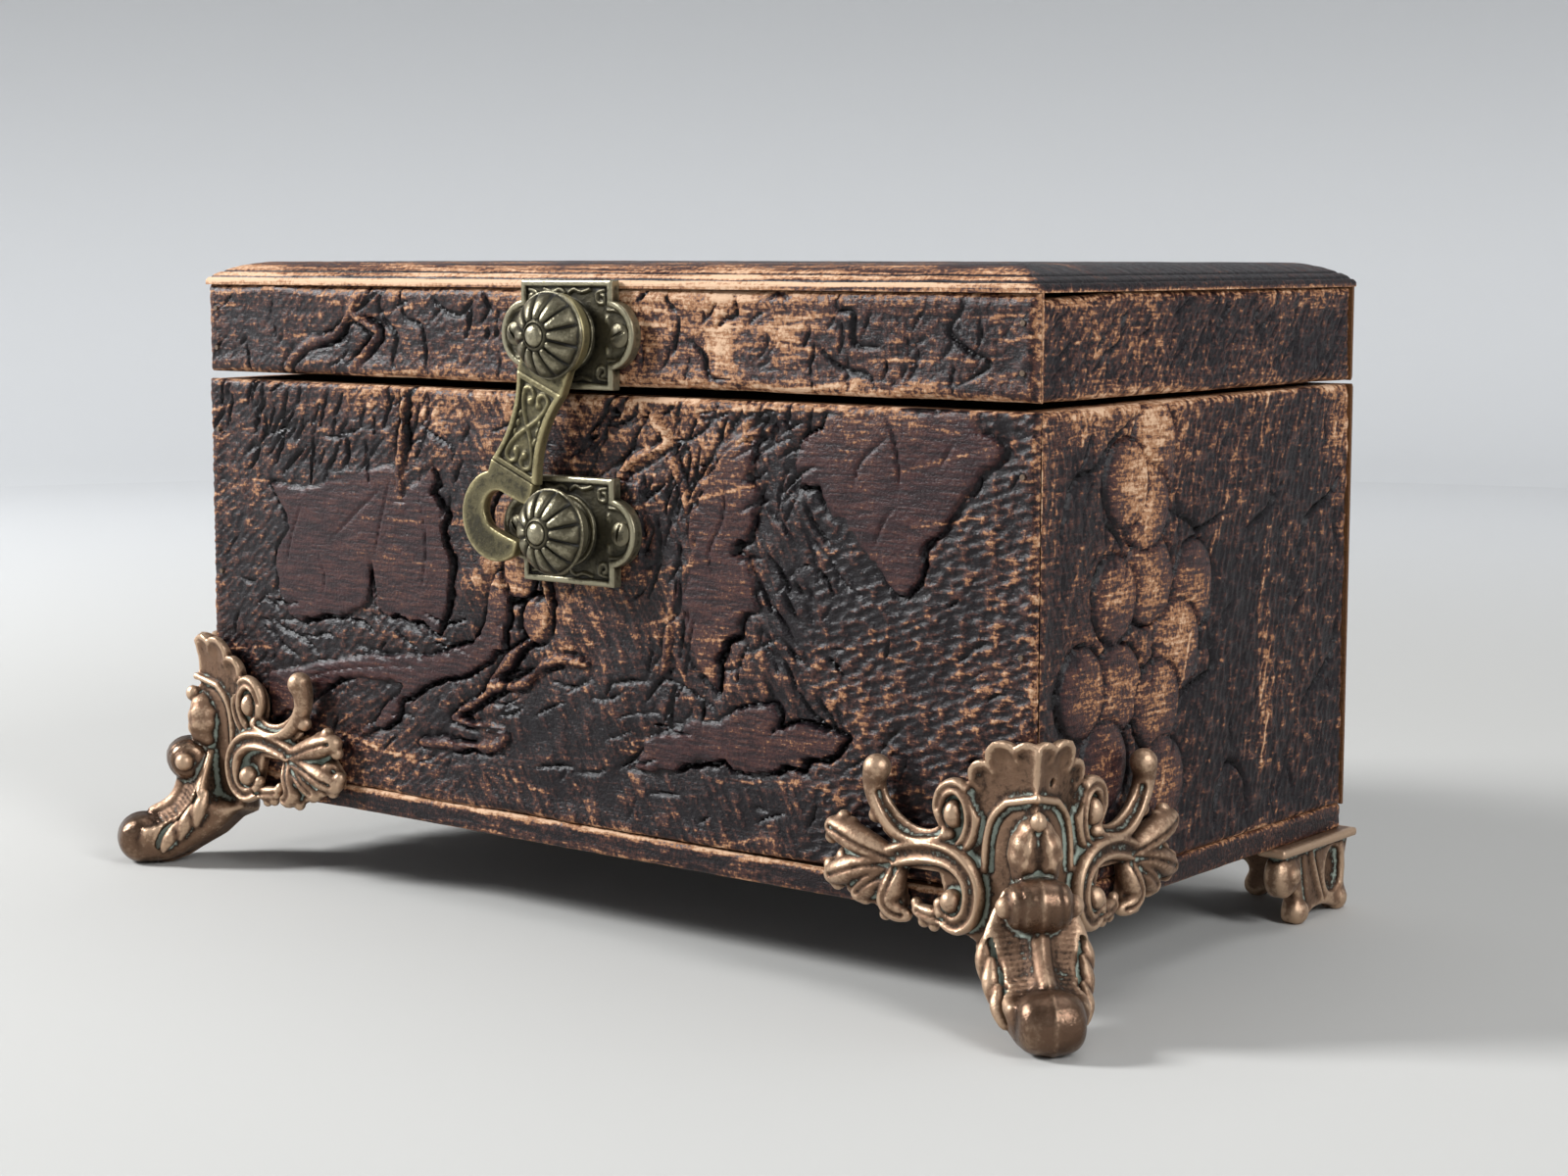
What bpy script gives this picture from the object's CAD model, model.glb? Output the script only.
import math

import bpy
import numpy as np
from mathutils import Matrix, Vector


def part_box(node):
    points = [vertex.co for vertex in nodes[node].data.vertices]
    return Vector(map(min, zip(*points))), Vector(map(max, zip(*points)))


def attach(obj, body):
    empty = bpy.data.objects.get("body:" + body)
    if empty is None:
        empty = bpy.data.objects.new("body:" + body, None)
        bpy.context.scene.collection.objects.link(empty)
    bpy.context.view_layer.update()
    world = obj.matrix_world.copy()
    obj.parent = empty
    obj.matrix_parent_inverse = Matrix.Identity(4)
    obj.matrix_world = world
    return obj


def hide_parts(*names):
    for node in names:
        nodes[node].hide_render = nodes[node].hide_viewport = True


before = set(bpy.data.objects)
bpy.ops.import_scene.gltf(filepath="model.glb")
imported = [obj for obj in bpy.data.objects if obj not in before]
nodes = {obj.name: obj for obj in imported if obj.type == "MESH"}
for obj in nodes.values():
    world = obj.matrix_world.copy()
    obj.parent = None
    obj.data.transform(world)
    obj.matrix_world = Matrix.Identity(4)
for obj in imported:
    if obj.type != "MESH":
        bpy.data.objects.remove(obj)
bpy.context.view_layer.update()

import openvdb
from mathutils import Matrix, Vector

mm = 0.001
scene = bpy.context.scene


def linear(code):
    values = [int(code[i:i + 2], 16) / 255 for i in (1, 3, 5)]
    return tuple(v / 12.92 if v <= 0.04045 else ((v + 0.055) / 1.055) ** 2.4 for v in values) + (1.0,)


def addNode(tree, kind, inputs=None, **settings):
    node = tree.nodes.new(kind)
    for key, value in settings.items():
        setattr(node, key, value)
    for key, value in (inputs or {}).items():
        if isinstance(value, bpy.types.NodeSocket):
            tree.links.new(value, node.inputs[key])
        else:
            node.inputs[key].default_value = value
    return node


def newMaterial(name):
    material = bpy.data.materials.new(name)
    material.use_nodes = True
    material.node_tree.nodes.clear()
    return material, material.node_tree


def nodeBox(name):
    low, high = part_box(name)
    return np.array(low) / mm, np.array(high) / mm


def newPiece(name, points, faces, materials, values=None, faceSlots=None, sharp=40):
    mesh = bpy.data.meshes.new(name)
    mesh.from_pydata(np.asarray(points) * mm, [], faces)
    for key, data in (values or {}).items():
        mesh.attributes.new(key, "FLOAT", "POINT").data.foreach_set("value", np.float32(data).ravel())
    for material in materials:
        mesh.materials.append(material)
    if faceSlots is not None:
        mesh.polygons.foreach_set("material_index", np.int32(faceSlots))
    mesh.shade_smooth()
    mesh.set_sharp_from_angle(angle=math.radians(sharp))
    mesh.update()
    piece = bpy.data.objects.new(name, mesh)
    scene.collection.objects.link(piece)
    return piece


# Faces of a grid whose rows close to a ring.
def ringFaces(index, flip=False):
    after = np.roll(index, -1, axis=0)
    quads = np.stack((index[:, :-1], after[:, :-1], after[:, 1:], index[:, 1:]), -1).reshape(-1, 4)
    return (quads[:, [0, 3, 2, 1]] if flip else quads).tolist()


def settle(piece, body, slot, *replaced):
    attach(piece, body)
    if replaced:
        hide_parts(*replaced)


def noiseAt(tree, where, size, detail):
    return addNode(tree, "ShaderNodeTexNoise",
                   {"Vector": where, "Scale": 1 / (size * mm), "Detail": detail,
                    "Roughness": 0.62}).outputs[0]


def ramp(tree, value, low, high, start=0.0, end=1.0, smooth=True):
    return addNode(tree, "ShaderNodeMapRange",
                   {"Value": value, "From Min": low, "From Max": high, "To Min": start, "To Max": end},
                   interpolation_type="SMOOTHSTEP" if smooth else "LINEAR").outputs[0]


def mixTones(tree, share, low, high):
    return addNode(tree, "ShaderNodeMix", {0: share, 6: low, 7: high}, data_type="RGBA").outputs[2]


def mixValues(tree, share, low, high):
    return addNode(tree, "ShaderNodeMix", {0: share, 2: low, 3: high}).outputs[0]


def addScaled(tree, value, weight, total):
    return addNode(tree, "ShaderNodeMath", {0: value, 1: weight, 2: total},
                   operation="MULTIPLY_ADD").outputs[0]


def attributes(tree, *names):
    return [addNode(tree, "ShaderNodeAttribute", attribute_name=name).outputs["Fac"] for name in names]


def bumped(tree, height, strength, depth, under=None):
    inputs = {"Height": height, "Strength": strength, "Distance": depth * mm}
    if under is not None:
        inputs["Normal"] = under
    return addNode(tree, "ShaderNodeBump", inputs).outputs[0]


def dress(tree, inputs):
    shader = addNode(tree, "ShaderNodeBsdfPrincipled", inputs)
    addNode(tree, "ShaderNodeOutputMaterial", {"Surface": shader.outputs[0]})


# Burnt and stained wood: purple-black ground, red-brown leaves, black cuts and bare tan wood where rubbed.
woodTones = {"leaf": "#1f1215", "ruddy": "#3e2424", "ground": "#110b0f", "char": "#040203",
             "rubbed": "#4a2d26", "bare": "#986b4a", "pale": "#cda98a"}
stainTones = ("#4a2f1d", "#7a5433")
woodSize = {"streak": 0.8, "fleck": 0.95, "patch": 22, "skin": (1.4, 0.6), "insideRough": 0.68,
            "stainStreak": 1.6}


def burntWood(name, grain, fixed=None, skin=None):
    material, tree = newMaterial(name)
    place = addNode(tree, "ShaderNodeTexCoord").outputs["Object"]
    alongGrain = addNode(tree, "ShaderNodeMapping", {"Vector": place, "Scale": grain}).outputs[0]
    streak = noiseAt(tree, alongGrain, woodSize["streak"], 4)
    fleck = noiseAt(tree, place, woodSize["fleck"], 4)
    patch = noiseAt(tree, place, woodSize["patch"], 3)
    burn, wear = fixed or attributes(tree, "burn", "wear")
    for noise, weight in ((streak, 0.95), (fleck, 1.0), (patch, 0.5)):
        wear = addScaled(tree, noise, weight, wear)
    burn = addScaled(tree, patch, 0.4, burn)
    shares = {"ruddy": ramp(tree, streak, 0.36, 0.66), "ground": ramp(tree, burn, 0.42, 0.72),
              "char": ramp(tree, burn, 0.95, 1.35), "rubbed": ramp(tree, wear, 1.16, 1.46),
              "bare": ramp(tree, wear, 1.42, 1.54), "pale": ramp(tree, wear, 1.54, 1.82)}
    colour = linear(woodTones["leaf"])
    for tone, share in shares.items():
        colour = mixTones(tree, share, colour, linear(woodTones[tone]))
    gloss = ramp(tree, fleck, 0.3, 0.7, 0.27, 0.46, smooth=False)
    gloss = mixValues(tree, shares["char"], gloss, 0.3)
    rough = mixValues(tree, shares["bare"], gloss, 0.72)
    if skin is not None:
        across = addNode(tree, "ShaderNodeSeparateXYZ", {0: place}).outputs["Y"]
        outside = ramp(tree, across, *((skin - depth) * mm for depth in woodSize["skin"]), smooth=False)
        stain = mixTones(tree, streak, *(linear(tone) for tone in stainTones))
        colour = mixTones(tree, outside, stain, colour)
        rough = mixValues(tree, outside, woodSize["insideRough"], rough)
    bump = bumped(tree, fleck, 0.6, 0.4, bumped(tree, streak, 0.5, 0.35))
    dress(tree, {"Base Color": colour, "Roughness": rough, "Normal": bump, "Specular IOR Level": 0.25})
    return material


# Stained wood of the inside, not burnt: plain brown with fine grain lines.
def stainedWood(name, grain):
    material, tree = newMaterial(name)
    place = addNode(tree, "ShaderNodeTexCoord").outputs["Object"]
    alongGrain = addNode(tree, "ShaderNodeMapping", {"Vector": place, "Scale": grain}).outputs[0]
    streak = noiseAt(tree, alongGrain, woodSize["stainStreak"], 5)
    colour = mixTones(tree, streak, *(linear(tone) for tone in stainTones))
    bump = bumped(tree, streak, 0.3, 0.25)
    dress(tree, {"Base Color": colour, "Roughness": woodSize["insideRough"], "Normal": bump})
    return material


# Cast or turned metal: rubbed high places, brown patina, dark sides of the hollows, a dull crust at their
# bottom and a brown handled gloss where a piece has the attribute "polish".
metalSize = {"mottle": 1.1, "stain": 7.7, "grit": 0.35, "handled": "#4d392c", "handledRough": 0.24}


def patinaMetal(name, bright, brown, dark, crust, rough):
    material, tree = newMaterial(name)
    place = addNode(tree, "ShaderNodeTexCoord").outputs["Object"]
    mottle = noiseAt(tree, place, metalSize["mottle"], 5)
    stain = noiseAt(tree, place, metalSize["stain"], 3)
    grit = noiseAt(tree, place, metalSize["grit"], 2)
    depth, polish = attributes(tree, "hollow", "polish")
    depth = addScaled(tree, mottle, 0.7, addScaled(tree, stain, 0.5, depth))
    crustShare = ramp(tree, depth, 1.255, 1.515)
    colour = mixTones(tree, ramp(tree, mottle, 0.3, 0.7, smooth=False), linear(dark), linear(brown))
    browned = addNode(tree, "ShaderNodeMath", {0: polish, 1: 0.6}, operation="MULTIPLY").outputs[0]
    for share, tone in ((0.45, brown), (ramp(tree, depth, 0.955, 0.675), bright),
                        (ramp(tree, depth, 0.975, 1.295), dark), (crustShare, crust),
                        (browned, metalSize["handled"])):
        colour = mixTones(tree, share, colour, linear(tone))
    roughness = ramp(tree, depth, 0.675, 1.375, *rough, smooth=False)
    roughness = mixValues(tree, polish, roughness, metalSize["handledRough"])
    metal = ramp(tree, crustShare, 0.0, 1.0, 0.8, 0.15, smooth=False)
    bump = bumped(tree, grit, 0.3, 0.12, bumped(tree, mottle, 0.45, 0.4))
    dress(tree, {"Base Color": colour, "Roughness": roughness, "Metallic": metal, "Normal": bump})
    return material


woodAcross = burntWood("carved_burnt_basswood_long_boards", (0.12, 1, 1))
woodDeep = burntWood("carved_burnt_basswood_end_boards", (1, 0.12, 1))
woodTop = burntWood("burnt_basswood_lid_top_rubbed", (0.06, 1, 1))
backFace = nodeBox("back_board")[1][1]
woodPlain = burntWood("burnt_basswood_plain_back", (0.1, 1, 1), fixed=(0.4, 0.02), skin=backFace)
woodSole = burntWood("burnt_basswood_plain_underside", (0.1, 1, 1), fixed=(0.4, 0.02))
woodInside = stainedWood("stained_basswood_inside", (0.08, 1, 1))
woodInsideDeep = stainedWood("stained_basswood_inside_end_boards", (1, 0.08, 1))
castBronze = patinaMetal("sand_cast_bronze_rubbed", "#bd9f84", "#8b6d57", "#30221a", "#8b958a",
                         (0.42, 0.64))
latchBrass = patinaMetal("stamped_brass_aged", "#8f8871", "#5f5947", "#2d2a20", "#191711", (0.28, 0.52))
hookBrass = patinaMetal("cast_brass_aged_hook", "#968b67", "#6e664a", "#363224", "#28251b", (0.34, 0.55))
screwBrass = patinaMetal("turned_brass_screw_aged", "#736c58", "#4d4839", "#26231a", "#17150f", (0.34, 0.5))
hingeBrass = patinaMetal("rolled_brass_hinge_aged", "#9a8246", "#6c5a34", "#40361f", "#3a3222", (0.32, 0.5))
nailSteel = patinaMetal("drawn_steel_nail_rusted", "#6a5a4c", "#3d2f27", "#2a1c15", "#231712", (0.45, 0.7))
screwSteel = patinaMetal("turned_steel_screw_dulled", "#8a8580", "#5c5650", "#35302c", "#2e2a26",
                         (0.38, 0.6))
print("materials ready")


# Relief of a board: every stroke works on the window of the grid that it touches.
def hashGrid(i, j, seed):
    x = np.sin(i * 127.1 + j * 311.7 + seed * 74.7) * 43758.5453
    return x - np.floor(x)


def gridNoise(u, v, cell, seed):
    x, y = u / cell, v / cell
    i, j = np.floor(x), np.floor(y)
    x, y = x - i, y - j
    x, y = x * x * (3 - 2 * x), y * y * (3 - 2 * y)
    low = hashGrid(i, j, seed) * (1 - x) + hashGrid(i + 1, j, seed) * x
    high = hashGrid(i, j + 1, seed) * (1 - x) + hashGrid(i + 1, j + 1, seed) * x
    return low * (1 - y) + high * y


def smoothStep(low, high, x):
    t = np.clip((x - low) / (high - low), 0, 1)
    return t * t * (3 - 2 * t)


def dimples(u, v, angle, long, wide, seed):
    c, s = math.cos(math.radians(angle)), math.sin(math.radians(angle))
    x, y = (u * c + v * s) / long, (v * c - u * s) / wide
    i0, j0 = np.floor(x), np.floor(y)
    best = np.zeros(np.broadcast(x, y).shape)
    for dj in (-1, 0, 1):
        for di in (-1, 0, 1):
            i, j = i0 + di, j0 + dj
            px = i + 0.5 + 0.8 * (hashGrid(i, j, seed) - 0.5)
            py = j + 0.5 + 0.5 * (hashGrid(i, j, seed + 1) - 0.5)
            reach = 0.48 + 0.27 * hashGrid(i, j, seed + 2)
            best = np.maximum(best, 1 - ((x - px) ** 2 + (y - py) ** 2) / reach ** 2)
    return best


def curve(points, steps=5):
    p = np.array([points[0], *points, points[-1]], float)
    t = np.linspace(0, 1, steps, endpoint=False)[:, None]
    spans = []
    for a, b, c, d in zip(p, p[1:], p[2:], p[3:]):
        bend = (2 * a - 5 * b + 4 * c - d) * t ** 2 + (3 * b - a - 3 * c + d) * t ** 3
        spans.append(0.5 * (2 * b + (c - a) * t + bend))
    return np.vstack(spans + [p[-1:]])


def pathDistance(u, v, points):
    points = np.asarray(points, float)
    lengths = np.hypot(*np.diff(points, axis=0).T)
    starts = np.concatenate(([0], np.cumsum(lengths)))
    shape = np.broadcast(u, v).shape
    best, at = np.full(shape, 1e9), np.zeros(shape)
    for a, b, length, start in zip(points, points[1:], lengths, starts):
        way = (b - a) / max(length, 1e-9)
        t = np.clip((u - a[0]) * way[0] + (v - a[1]) * way[1], 0, length)
        d = np.hypot(u - a[0] - t * way[0], v - a[1] - t * way[1])
        closer = d < best
        best = np.where(closer, d, best)
        at = np.where(closer, (start + t) / starts[-1], at)
    return best, at


def insideOutline(u, v, points):
    odd = np.zeros(np.broadcast(u, v).shape, bool)
    for (ax, ay), (bx, by) in zip(points, points[1:] + points[:1]):
        if ay != by:
            odd ^= ((ay > v) != (by > v)) & (u < (bx - ax) * (v - ay) / (by - ay) + ax)
    return odd


def outlineDistance(u, v, points):
    d = pathDistance(u, v, points + points[:1])[0]
    return np.where(insideOutline(u, v, points), -d, d)


def newRelief(width, height, step, edge=(0.0, 0.12, 0.3, 0.55, 0.9, 1.4, 2.0)):
    edge = np.array(edge)
    samples = []
    for length in (width, height):
        count = max(2, round((length - 2 * edge[-1]) / step))
        middle = np.linspace(edge[-1], length - edge[-1], count + 1)
        samples.append(np.concatenate((edge[:-1], middle, (length - edge[:-1])[::-1])))
    us, vs = samples[0] - width / 2, samples[1]
    shape = (len(us), len(vs))
    return {"us": us, "vs": vs, "width": width, "height": height, "edge": np.full(shape, 40.0),
            "crown": np.zeros(shape), "dome": np.zeros(shape), "cut": np.zeros(shape),
            "worn": np.zeros(shape), "soft": np.zeros(shape), "rough": np.ones(shape)}


def window(relief, points, margin):
    low, high = np.min(points, axis=0) - margin, np.max(points, axis=0) + margin
    rows = slice(*np.searchsorted(relief["us"], (low[0], high[0])))
    columns = slice(*np.searchsorted(relief["vs"], (low[1], high[1])))
    return (rows, columns), relief["us"][rows, None], relief["vs"][None, columns]


def addLeaf(relief, outline):
    spot, u, v = window(relief, outline, 9)
    relief["edge"][spot] = np.minimum(relief["edge"][spot], outlineDistance(u, v, outline))


def addRidge(relief, points, width):
    path = curve(points)
    spot, u, v = window(relief, path, 9)
    d = pathDistance(u, v, path)[0]
    relief["edge"][spot] = np.minimum(relief["edge"][spot], d - width / 2)
    relief["crown"][spot] = np.maximum(relief["crown"][spot], 1 - d / width)


grapeSize = {"rim": 0.9, "dome": 0.55, "sink": 0.06, "groove": 0.95, "grooveAt": 0.25, "edge": 0.3,
             "worn": 0.10}


def addGrape(relief, u0, v0, halfWide, halfTall):
    spot, u, v = window(relief, [(u0, v0)], 22)
    q = np.hypot((u - u0) / halfWide, (v - v0) / halfTall)
    d = (q - 1) * min(halfWide, halfTall)
    dome = np.where(q < 1, grapeSize["dome"] * q ** 4 + grapeSize["sink"], 0)
    groove = grapeSize["groove"] * np.clip(1 - np.abs(d - grapeSize["grooveAt"]) / grapeSize["rim"], 0, 1)
    relief["dome"][spot] = np.where(d < grapeSize["rim"], np.maximum(dome, groove), relief["dome"][spot])
    relief["edge"][spot] = np.minimum(relief["edge"][spot], d - grapeSize["edge"])
    relief["worn"][spot] += grapeSize["worn"] * np.clip(1 - q, 0, 1)


def addCut(relief, points, width, depth):
    path = curve(points)
    spot, u, v = window(relief, path, width + 1)
    d, at = pathDistance(u, v, path)
    half = 0.5 * width * (0.25 + 0.75 * np.sqrt(np.clip(np.sin(np.pi * np.clip(at, 0.02, 0.98)), 0, 1)))
    groove = depth * np.clip(1 - d / half, 0, 1) * half / (0.5 * width)
    relief["cut"][spot] = np.maximum(relief["cut"][spot], groove)


# A straight stroke at a random place: its middle and half of its run.
def randomStroke(rng, region, angle, spread, length):
    u0, u1, v0, v1 = region
    u, v = rng.uniform(u0, u1), rng.uniform(v0, v1)
    turn = math.radians(angle + rng.uniform(-spread, spread))
    reach = rng.uniform(*length) / 2
    return u, v, reach * math.cos(turn), reach * math.sin(turn)


# Gouges off the leaves: an angle and its spread in degrees, then ranges of length, width and depth.
def addGouges(relief, seed, count, angle, spread, length, width, depth, region=None):
    rng = np.random.default_rng(seed)
    half = relief["width"] / 2
    region = region or (4 - half, half - 4, 3, relief["height"] - 3)
    for _ in range(count):
        u, v, du, dv = randomStroke(rng, region, angle, spread, length)
        bow = rng.uniform(-0.25, 0.25)
        ends = [(u - du, v - dv), (u - bow * dv, v + bow * du), (u + du, v + dv)]
        size = rng.uniform(*width), rng.uniform(*depth)
        onLeaf = relief["edge"][np.searchsorted(relief["us"], u), np.searchsorted(relief["vs"], v)] < -0.8
        if not onLeaf:
            addCut(relief, ends, *size)


# Pale scratches that lie on the wood without depth.
def addScratches(relief, seed, count, angle, spread, length, amount):
    rng = np.random.default_rng(seed)
    half = relief["width"] / 2
    for _ in range(count):
        u, v, du, dv = randomStroke(rng, (-half, half, 0, relief["height"]), angle, spread, length)
        path = [(u - du, v - dv), (u + du, v + dv)]
        spot, us, vs = window(relief, path, 2)
        d = pathDistance(us, vs, path)[0]
        relief["worn"][spot] += rng.uniform(0.4, 1) * amount * np.exp(-(d / 0.4) ** 2)


def addPatch(relief, u0, v0, halfWide, halfTall, amount, layer="worn"):
    u, v = relief["us"][:, None], relief["vs"][None, :]
    relief[layer] += amount * np.exp(-(((u - u0) / halfWide) ** 2 + ((v - v0) / halfTall) ** 2))


def borderOf(relief):
    u, v = relief["us"][:, None], relief["vs"][None, :]
    half = relief["width"] / 2
    return np.minimum(np.minimum(u + half, half - u), np.minimum(v, relief["height"] - v))


def between(low, high, soft, x):
    return smoothStep(low - soft, low + soft, x) * (1 - smoothStep(high - soft, high + soft, x))


def swell(u, v, amount, cell, seed):
    return amount * (gridNoise(u, v, cell, seed) - 0.5)


# Lengths of the carving; a pair is an amount and the cell of its noise.
carveSize = {"fineRag": (0.9, 1.5), "coarseRag": (1.3, 4.2), "groundSwell": (0.5, 11), "stippleBlend": 6,
             "edgeFade": (1.5, 6), "wallReach": 2.5, "softReach": 7, "keen": 1.7, "keenCell": 9,
             "scoreAt": 0.45, "scoreHalf": 0.8, "lip": 0.2, "lipReach": 0.5, "sag": 0.22, "sagCell": 5.5,
             "leafPits": 0.1, "crown": 0.25, "seatBlend": 0.4, "arrisCell": 17, "fullPit": 0.4}
wearShare = {"all": -0.05, "border": 0.34, "borderReach": 1.6, "crown": 0.22, "high": 0.15, "cut": -0.6,
             "dome": -0.3}
burnShare = {"all": 0.12, "ground": 0.44, "high": -0.1, "cut": 0.9}


def carve(relief, ground, wall, stipple, seed, seats=(), arris=1.6):
    size = carveSize
    u, v = relief["us"][:, None], relief["vs"][None, :]
    border = borderOf(relief)
    ragged = swell(u, v, *size["fineRag"], seed + 3) + swell(u, v, *size["coarseRag"], seed + 4)
    field = relief["edge"] + ragged * relief["rough"]
    pits = 0
    for start, end, angle, long, wide, deep in stipple:
        share = between(start, end, size["stippleBlend"], u)
        pits = pits + share * deep * dimples(u, v, angle, long, wide, seed)
    out = np.clip(field, 0, None)
    crisp = 1 - np.clip(relief["soft"], 0, 1)
    lowered = smoothStep(-0.2, 0.3, field)
    fade = 0.25 + 0.75 * smoothStep(*size["edgeFade"], border)
    uneven = swell(u, v, *size["groundSwell"], seed + 5)
    depth = ground + wall * crisp * np.exp(-out / size["wallReach"]) + uneven
    depth = depth * (1 - 0.85 * (1 - crisp) * np.exp(-out / size["softReach"]))
    keen = size["keen"] * smoothStep(0.2, 0.9, gridNoise(u, v, size["keenCell"], seed + 6))
    score = np.clip(1 - np.abs(field - size["scoreAt"]) / size["scoreHalf"], 0, 1)
    cut = np.maximum(relief["cut"], crisp * relief["rough"] * keen * score)
    rounding = size["lip"] * np.exp(np.clip(field, -9, 0) / size["lipReach"])
    height = -lowered * fade * np.clip(depth, 0.05, None) - (1 - lowered) * rounding
    height -= lowered * pits * smoothStep(0.2, 1.6, out + 0.2)
    sagging = size["sag"] * gridNoise(u, v, size["sagCell"], seed + 9)
    height -= (1 - lowered) * (sagging + size["leafPits"] * pits)
    height += size["crown"] * np.clip(relief["crown"], 0, 1) - relief["dome"] - cut
    for u0, u1, v0, v1 in seats:
        height *= 1 - between(u0, u1, size["seatBlend"], u) * between(v0, v1, size["seatBlend"], v)
    rounded = arris * (0.55 + 0.9 * gridNoise(u, v, size["arrisCell"], seed + 2))
    inward = np.clip(rounded - border, 0, rounded)
    height -= rounded - np.sqrt(np.clip(rounded ** 2 - inward ** 2, 0, None))
    high = lowered * (1 - 2 * np.clip(pits / size["fullPit"], 0, 1))
    wear = (wearShare["all"] + relief["worn"]
            + wearShare["border"] * np.exp(-border / wearShare["borderReach"])
            + wearShare["crown"] * np.clip(relief["crown"], 0, 1) + wearShare["high"] * high
            + wearShare["cut"] * np.clip(cut, 0, 1)
            + wearShare["dome"] * np.clip(relief["dome"] - 0.3, 0, 1))
    burn = (burnShare["all"] + burnShare["ground"] * lowered + burnShare["high"] * high
            + burnShare["cut"] * np.clip(cut + relief["dome"] - 0.15, 0, 1))
    return height, burn, wear


# Closed board: the relief outside, a plain inner side through the points of back, and an optional sloping
# head or foot.
def boardMesh(name, relief, height, burn, wear, back, origin, across, up, out, materials,
              tops=None, feet=None):
    us, vs = relief["us"], relief["vs"]
    origin, across, up, out = (np.array(a, float) for a in (origin, across, up, out))
    head = np.interp(us, *zip(*(tops or [(0, relief["height"])])))
    foot = np.interp(us, *zip(*(feet or [(0, 0.0)])))
    lift = foot[:, None] + (vs / relief["height"])[None, :] * (head - foot)[:, None]
    outer = origin + us[:, None, None] * across + lift[..., None] * up + height[..., None] * out
    nu, nv = len(us), len(vs)
    inner = []
    for u, depth in back:
        spot = origin + u * across - depth * out
        inner += [spot + np.interp(u, us, foot) * up, spot + np.interp(u, us, head) * up]
    index = np.arange(nu * nv).reshape(nu, nv)
    quads = np.stack((index[:-1, :-1], index[1:, :-1], index[1:, 1:], index[:-1, 1:]), -1).reshape(-1, 4)
    base = nu * nv
    low = [base + 2 * k for k in range(len(back))]
    high = [k + 1 for k in low]
    faces = quads.tolist()
    slots = [0] * len(faces)
    for a, b, c, d in zip(low, low[1:], high[1:], high):
        faces.append([a, b, c, d])
        slots.append(1)
    faces.append([index[-1, 0], low[0], high[0]] + index[-1, :0:-1].tolist())
    faces.append([low[-1]] + index[0].tolist() + [high[-1]])
    faces.append(low[::-1] + index[::-1, 0].tolist())
    faces.append(index[:, -1].tolist() + high)
    slots += [0] * 4
    innerShares = {"burn": 0.2, "wear": 0.34}
    values = {key: np.append(outside, [innerShares[key]] * len(inner))
              for key, outside in (("burn", burn), ("wear", wear))}
    return newPiece(name, np.vstack((outer.reshape(-1, 3), inner)), faces, materials, values, slots)


step = 0.53
boardThick = 7.0
lip = 1.8
seatMargin = 0.8


def rebatedBack(half):
    end = [(half, lip), (half - boardThick, lip), (half - boardThick, boardThick)]
    return end + [(-u, depth) for u, depth in end[::-1]]


# Flat place that a latch plate is seated on, in the board's own measure.
def plateSeat(name, sill):
    low, high = nodeBox(name)
    return low[0] + seatMargin, high[0] - seatMargin, low[2] - sill + seatMargin, high[2] - sill - seatMargin


def frontMesh(name, relief, shape, feet=None):
    low, high = nodeBox(name)
    origin = ((low[0] + high[0]) / 2, low[1], low[2])
    return boardMesh(name + "_carved", relief, *shape, rebatedBack(relief["width"] / 2), origin, (1, 0, 0),
                     (0, 0, 1), (0, -1, 0), (woodAcross, woodInside), feet=feet)


# Board of an end; way is 1 on the right and -1 on the left.
def endMesh(name, relief, shape, way, tops):
    low, high = nodeBox(name)
    half = relief["width"] / 2
    origin = (high[0] if way > 0 else low[0], (low[1] + high[1]) / 2, low[2])
    return boardMesh(name + "_carved", relief, *shape, [(half, boardThick), (-half, boardThick)], origin,
                     (0, way, 0), (0, 0, 1), (way, 0, 0), (woodDeep, woodInsideDeep), tops)


# Front board: vine, leaves and tendrils standing on a stippled ground.
frontLow, frontHigh = nodeBox("front_board")
frontSize = {"ground": 0.45, "wall": 0.85, "seed": 3, "gap": 1.0,
             "gouges": (9, 130, 35, 40, (3, 10), (0.8, 1.6), (0.35, 1.0)),
             "scratches": (79, 70, 4, 14, (8, 40), 0.30),
             "stipple": ((-140, -38, 35, 4.4, 1.5, 0.34), (-38, 68, -58, 9.0, 1.3, 0.42),
                         (68, 140, 18, 3.9, 1.9, 0.50))}
bigLeaf = [(-104.5, 74.5), (-92, 73.5), (-86.5, 74.5), (-83.5, 76), (-72.5, 78.5), (-65.5, 80), (-61, 81),
           (-58.5, 79.5), (-57, 71.5), (-53.5, 75.5), (-49.5, 78.5), (-46, 80.5), (-44, 77.5), (-45.5, 75),
           (-43.5, 72.5), (-41, 70), (-42, 66.5), (-41.5, 63), (-39.5, 57.5), (-40.5, 53), (-41, 48.5),
           (-44, 41), (-48.5, 42), (-51, 43.5), (-55, 43.5), (-58.5, 44.5), (-61, 43.5), (-64, 44.5),
           (-67, 48), (-67.5, 57), (-69, 47), (-76, 43.5), (-81.5, 42.5), (-87.5, 42), (-93, 40),
           (-97.5, 41.5), (-102, 48.5), (-102.5, 53.5), (-101.5, 58), (-97, 63.5), (-99.5, 68.5)]
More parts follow.
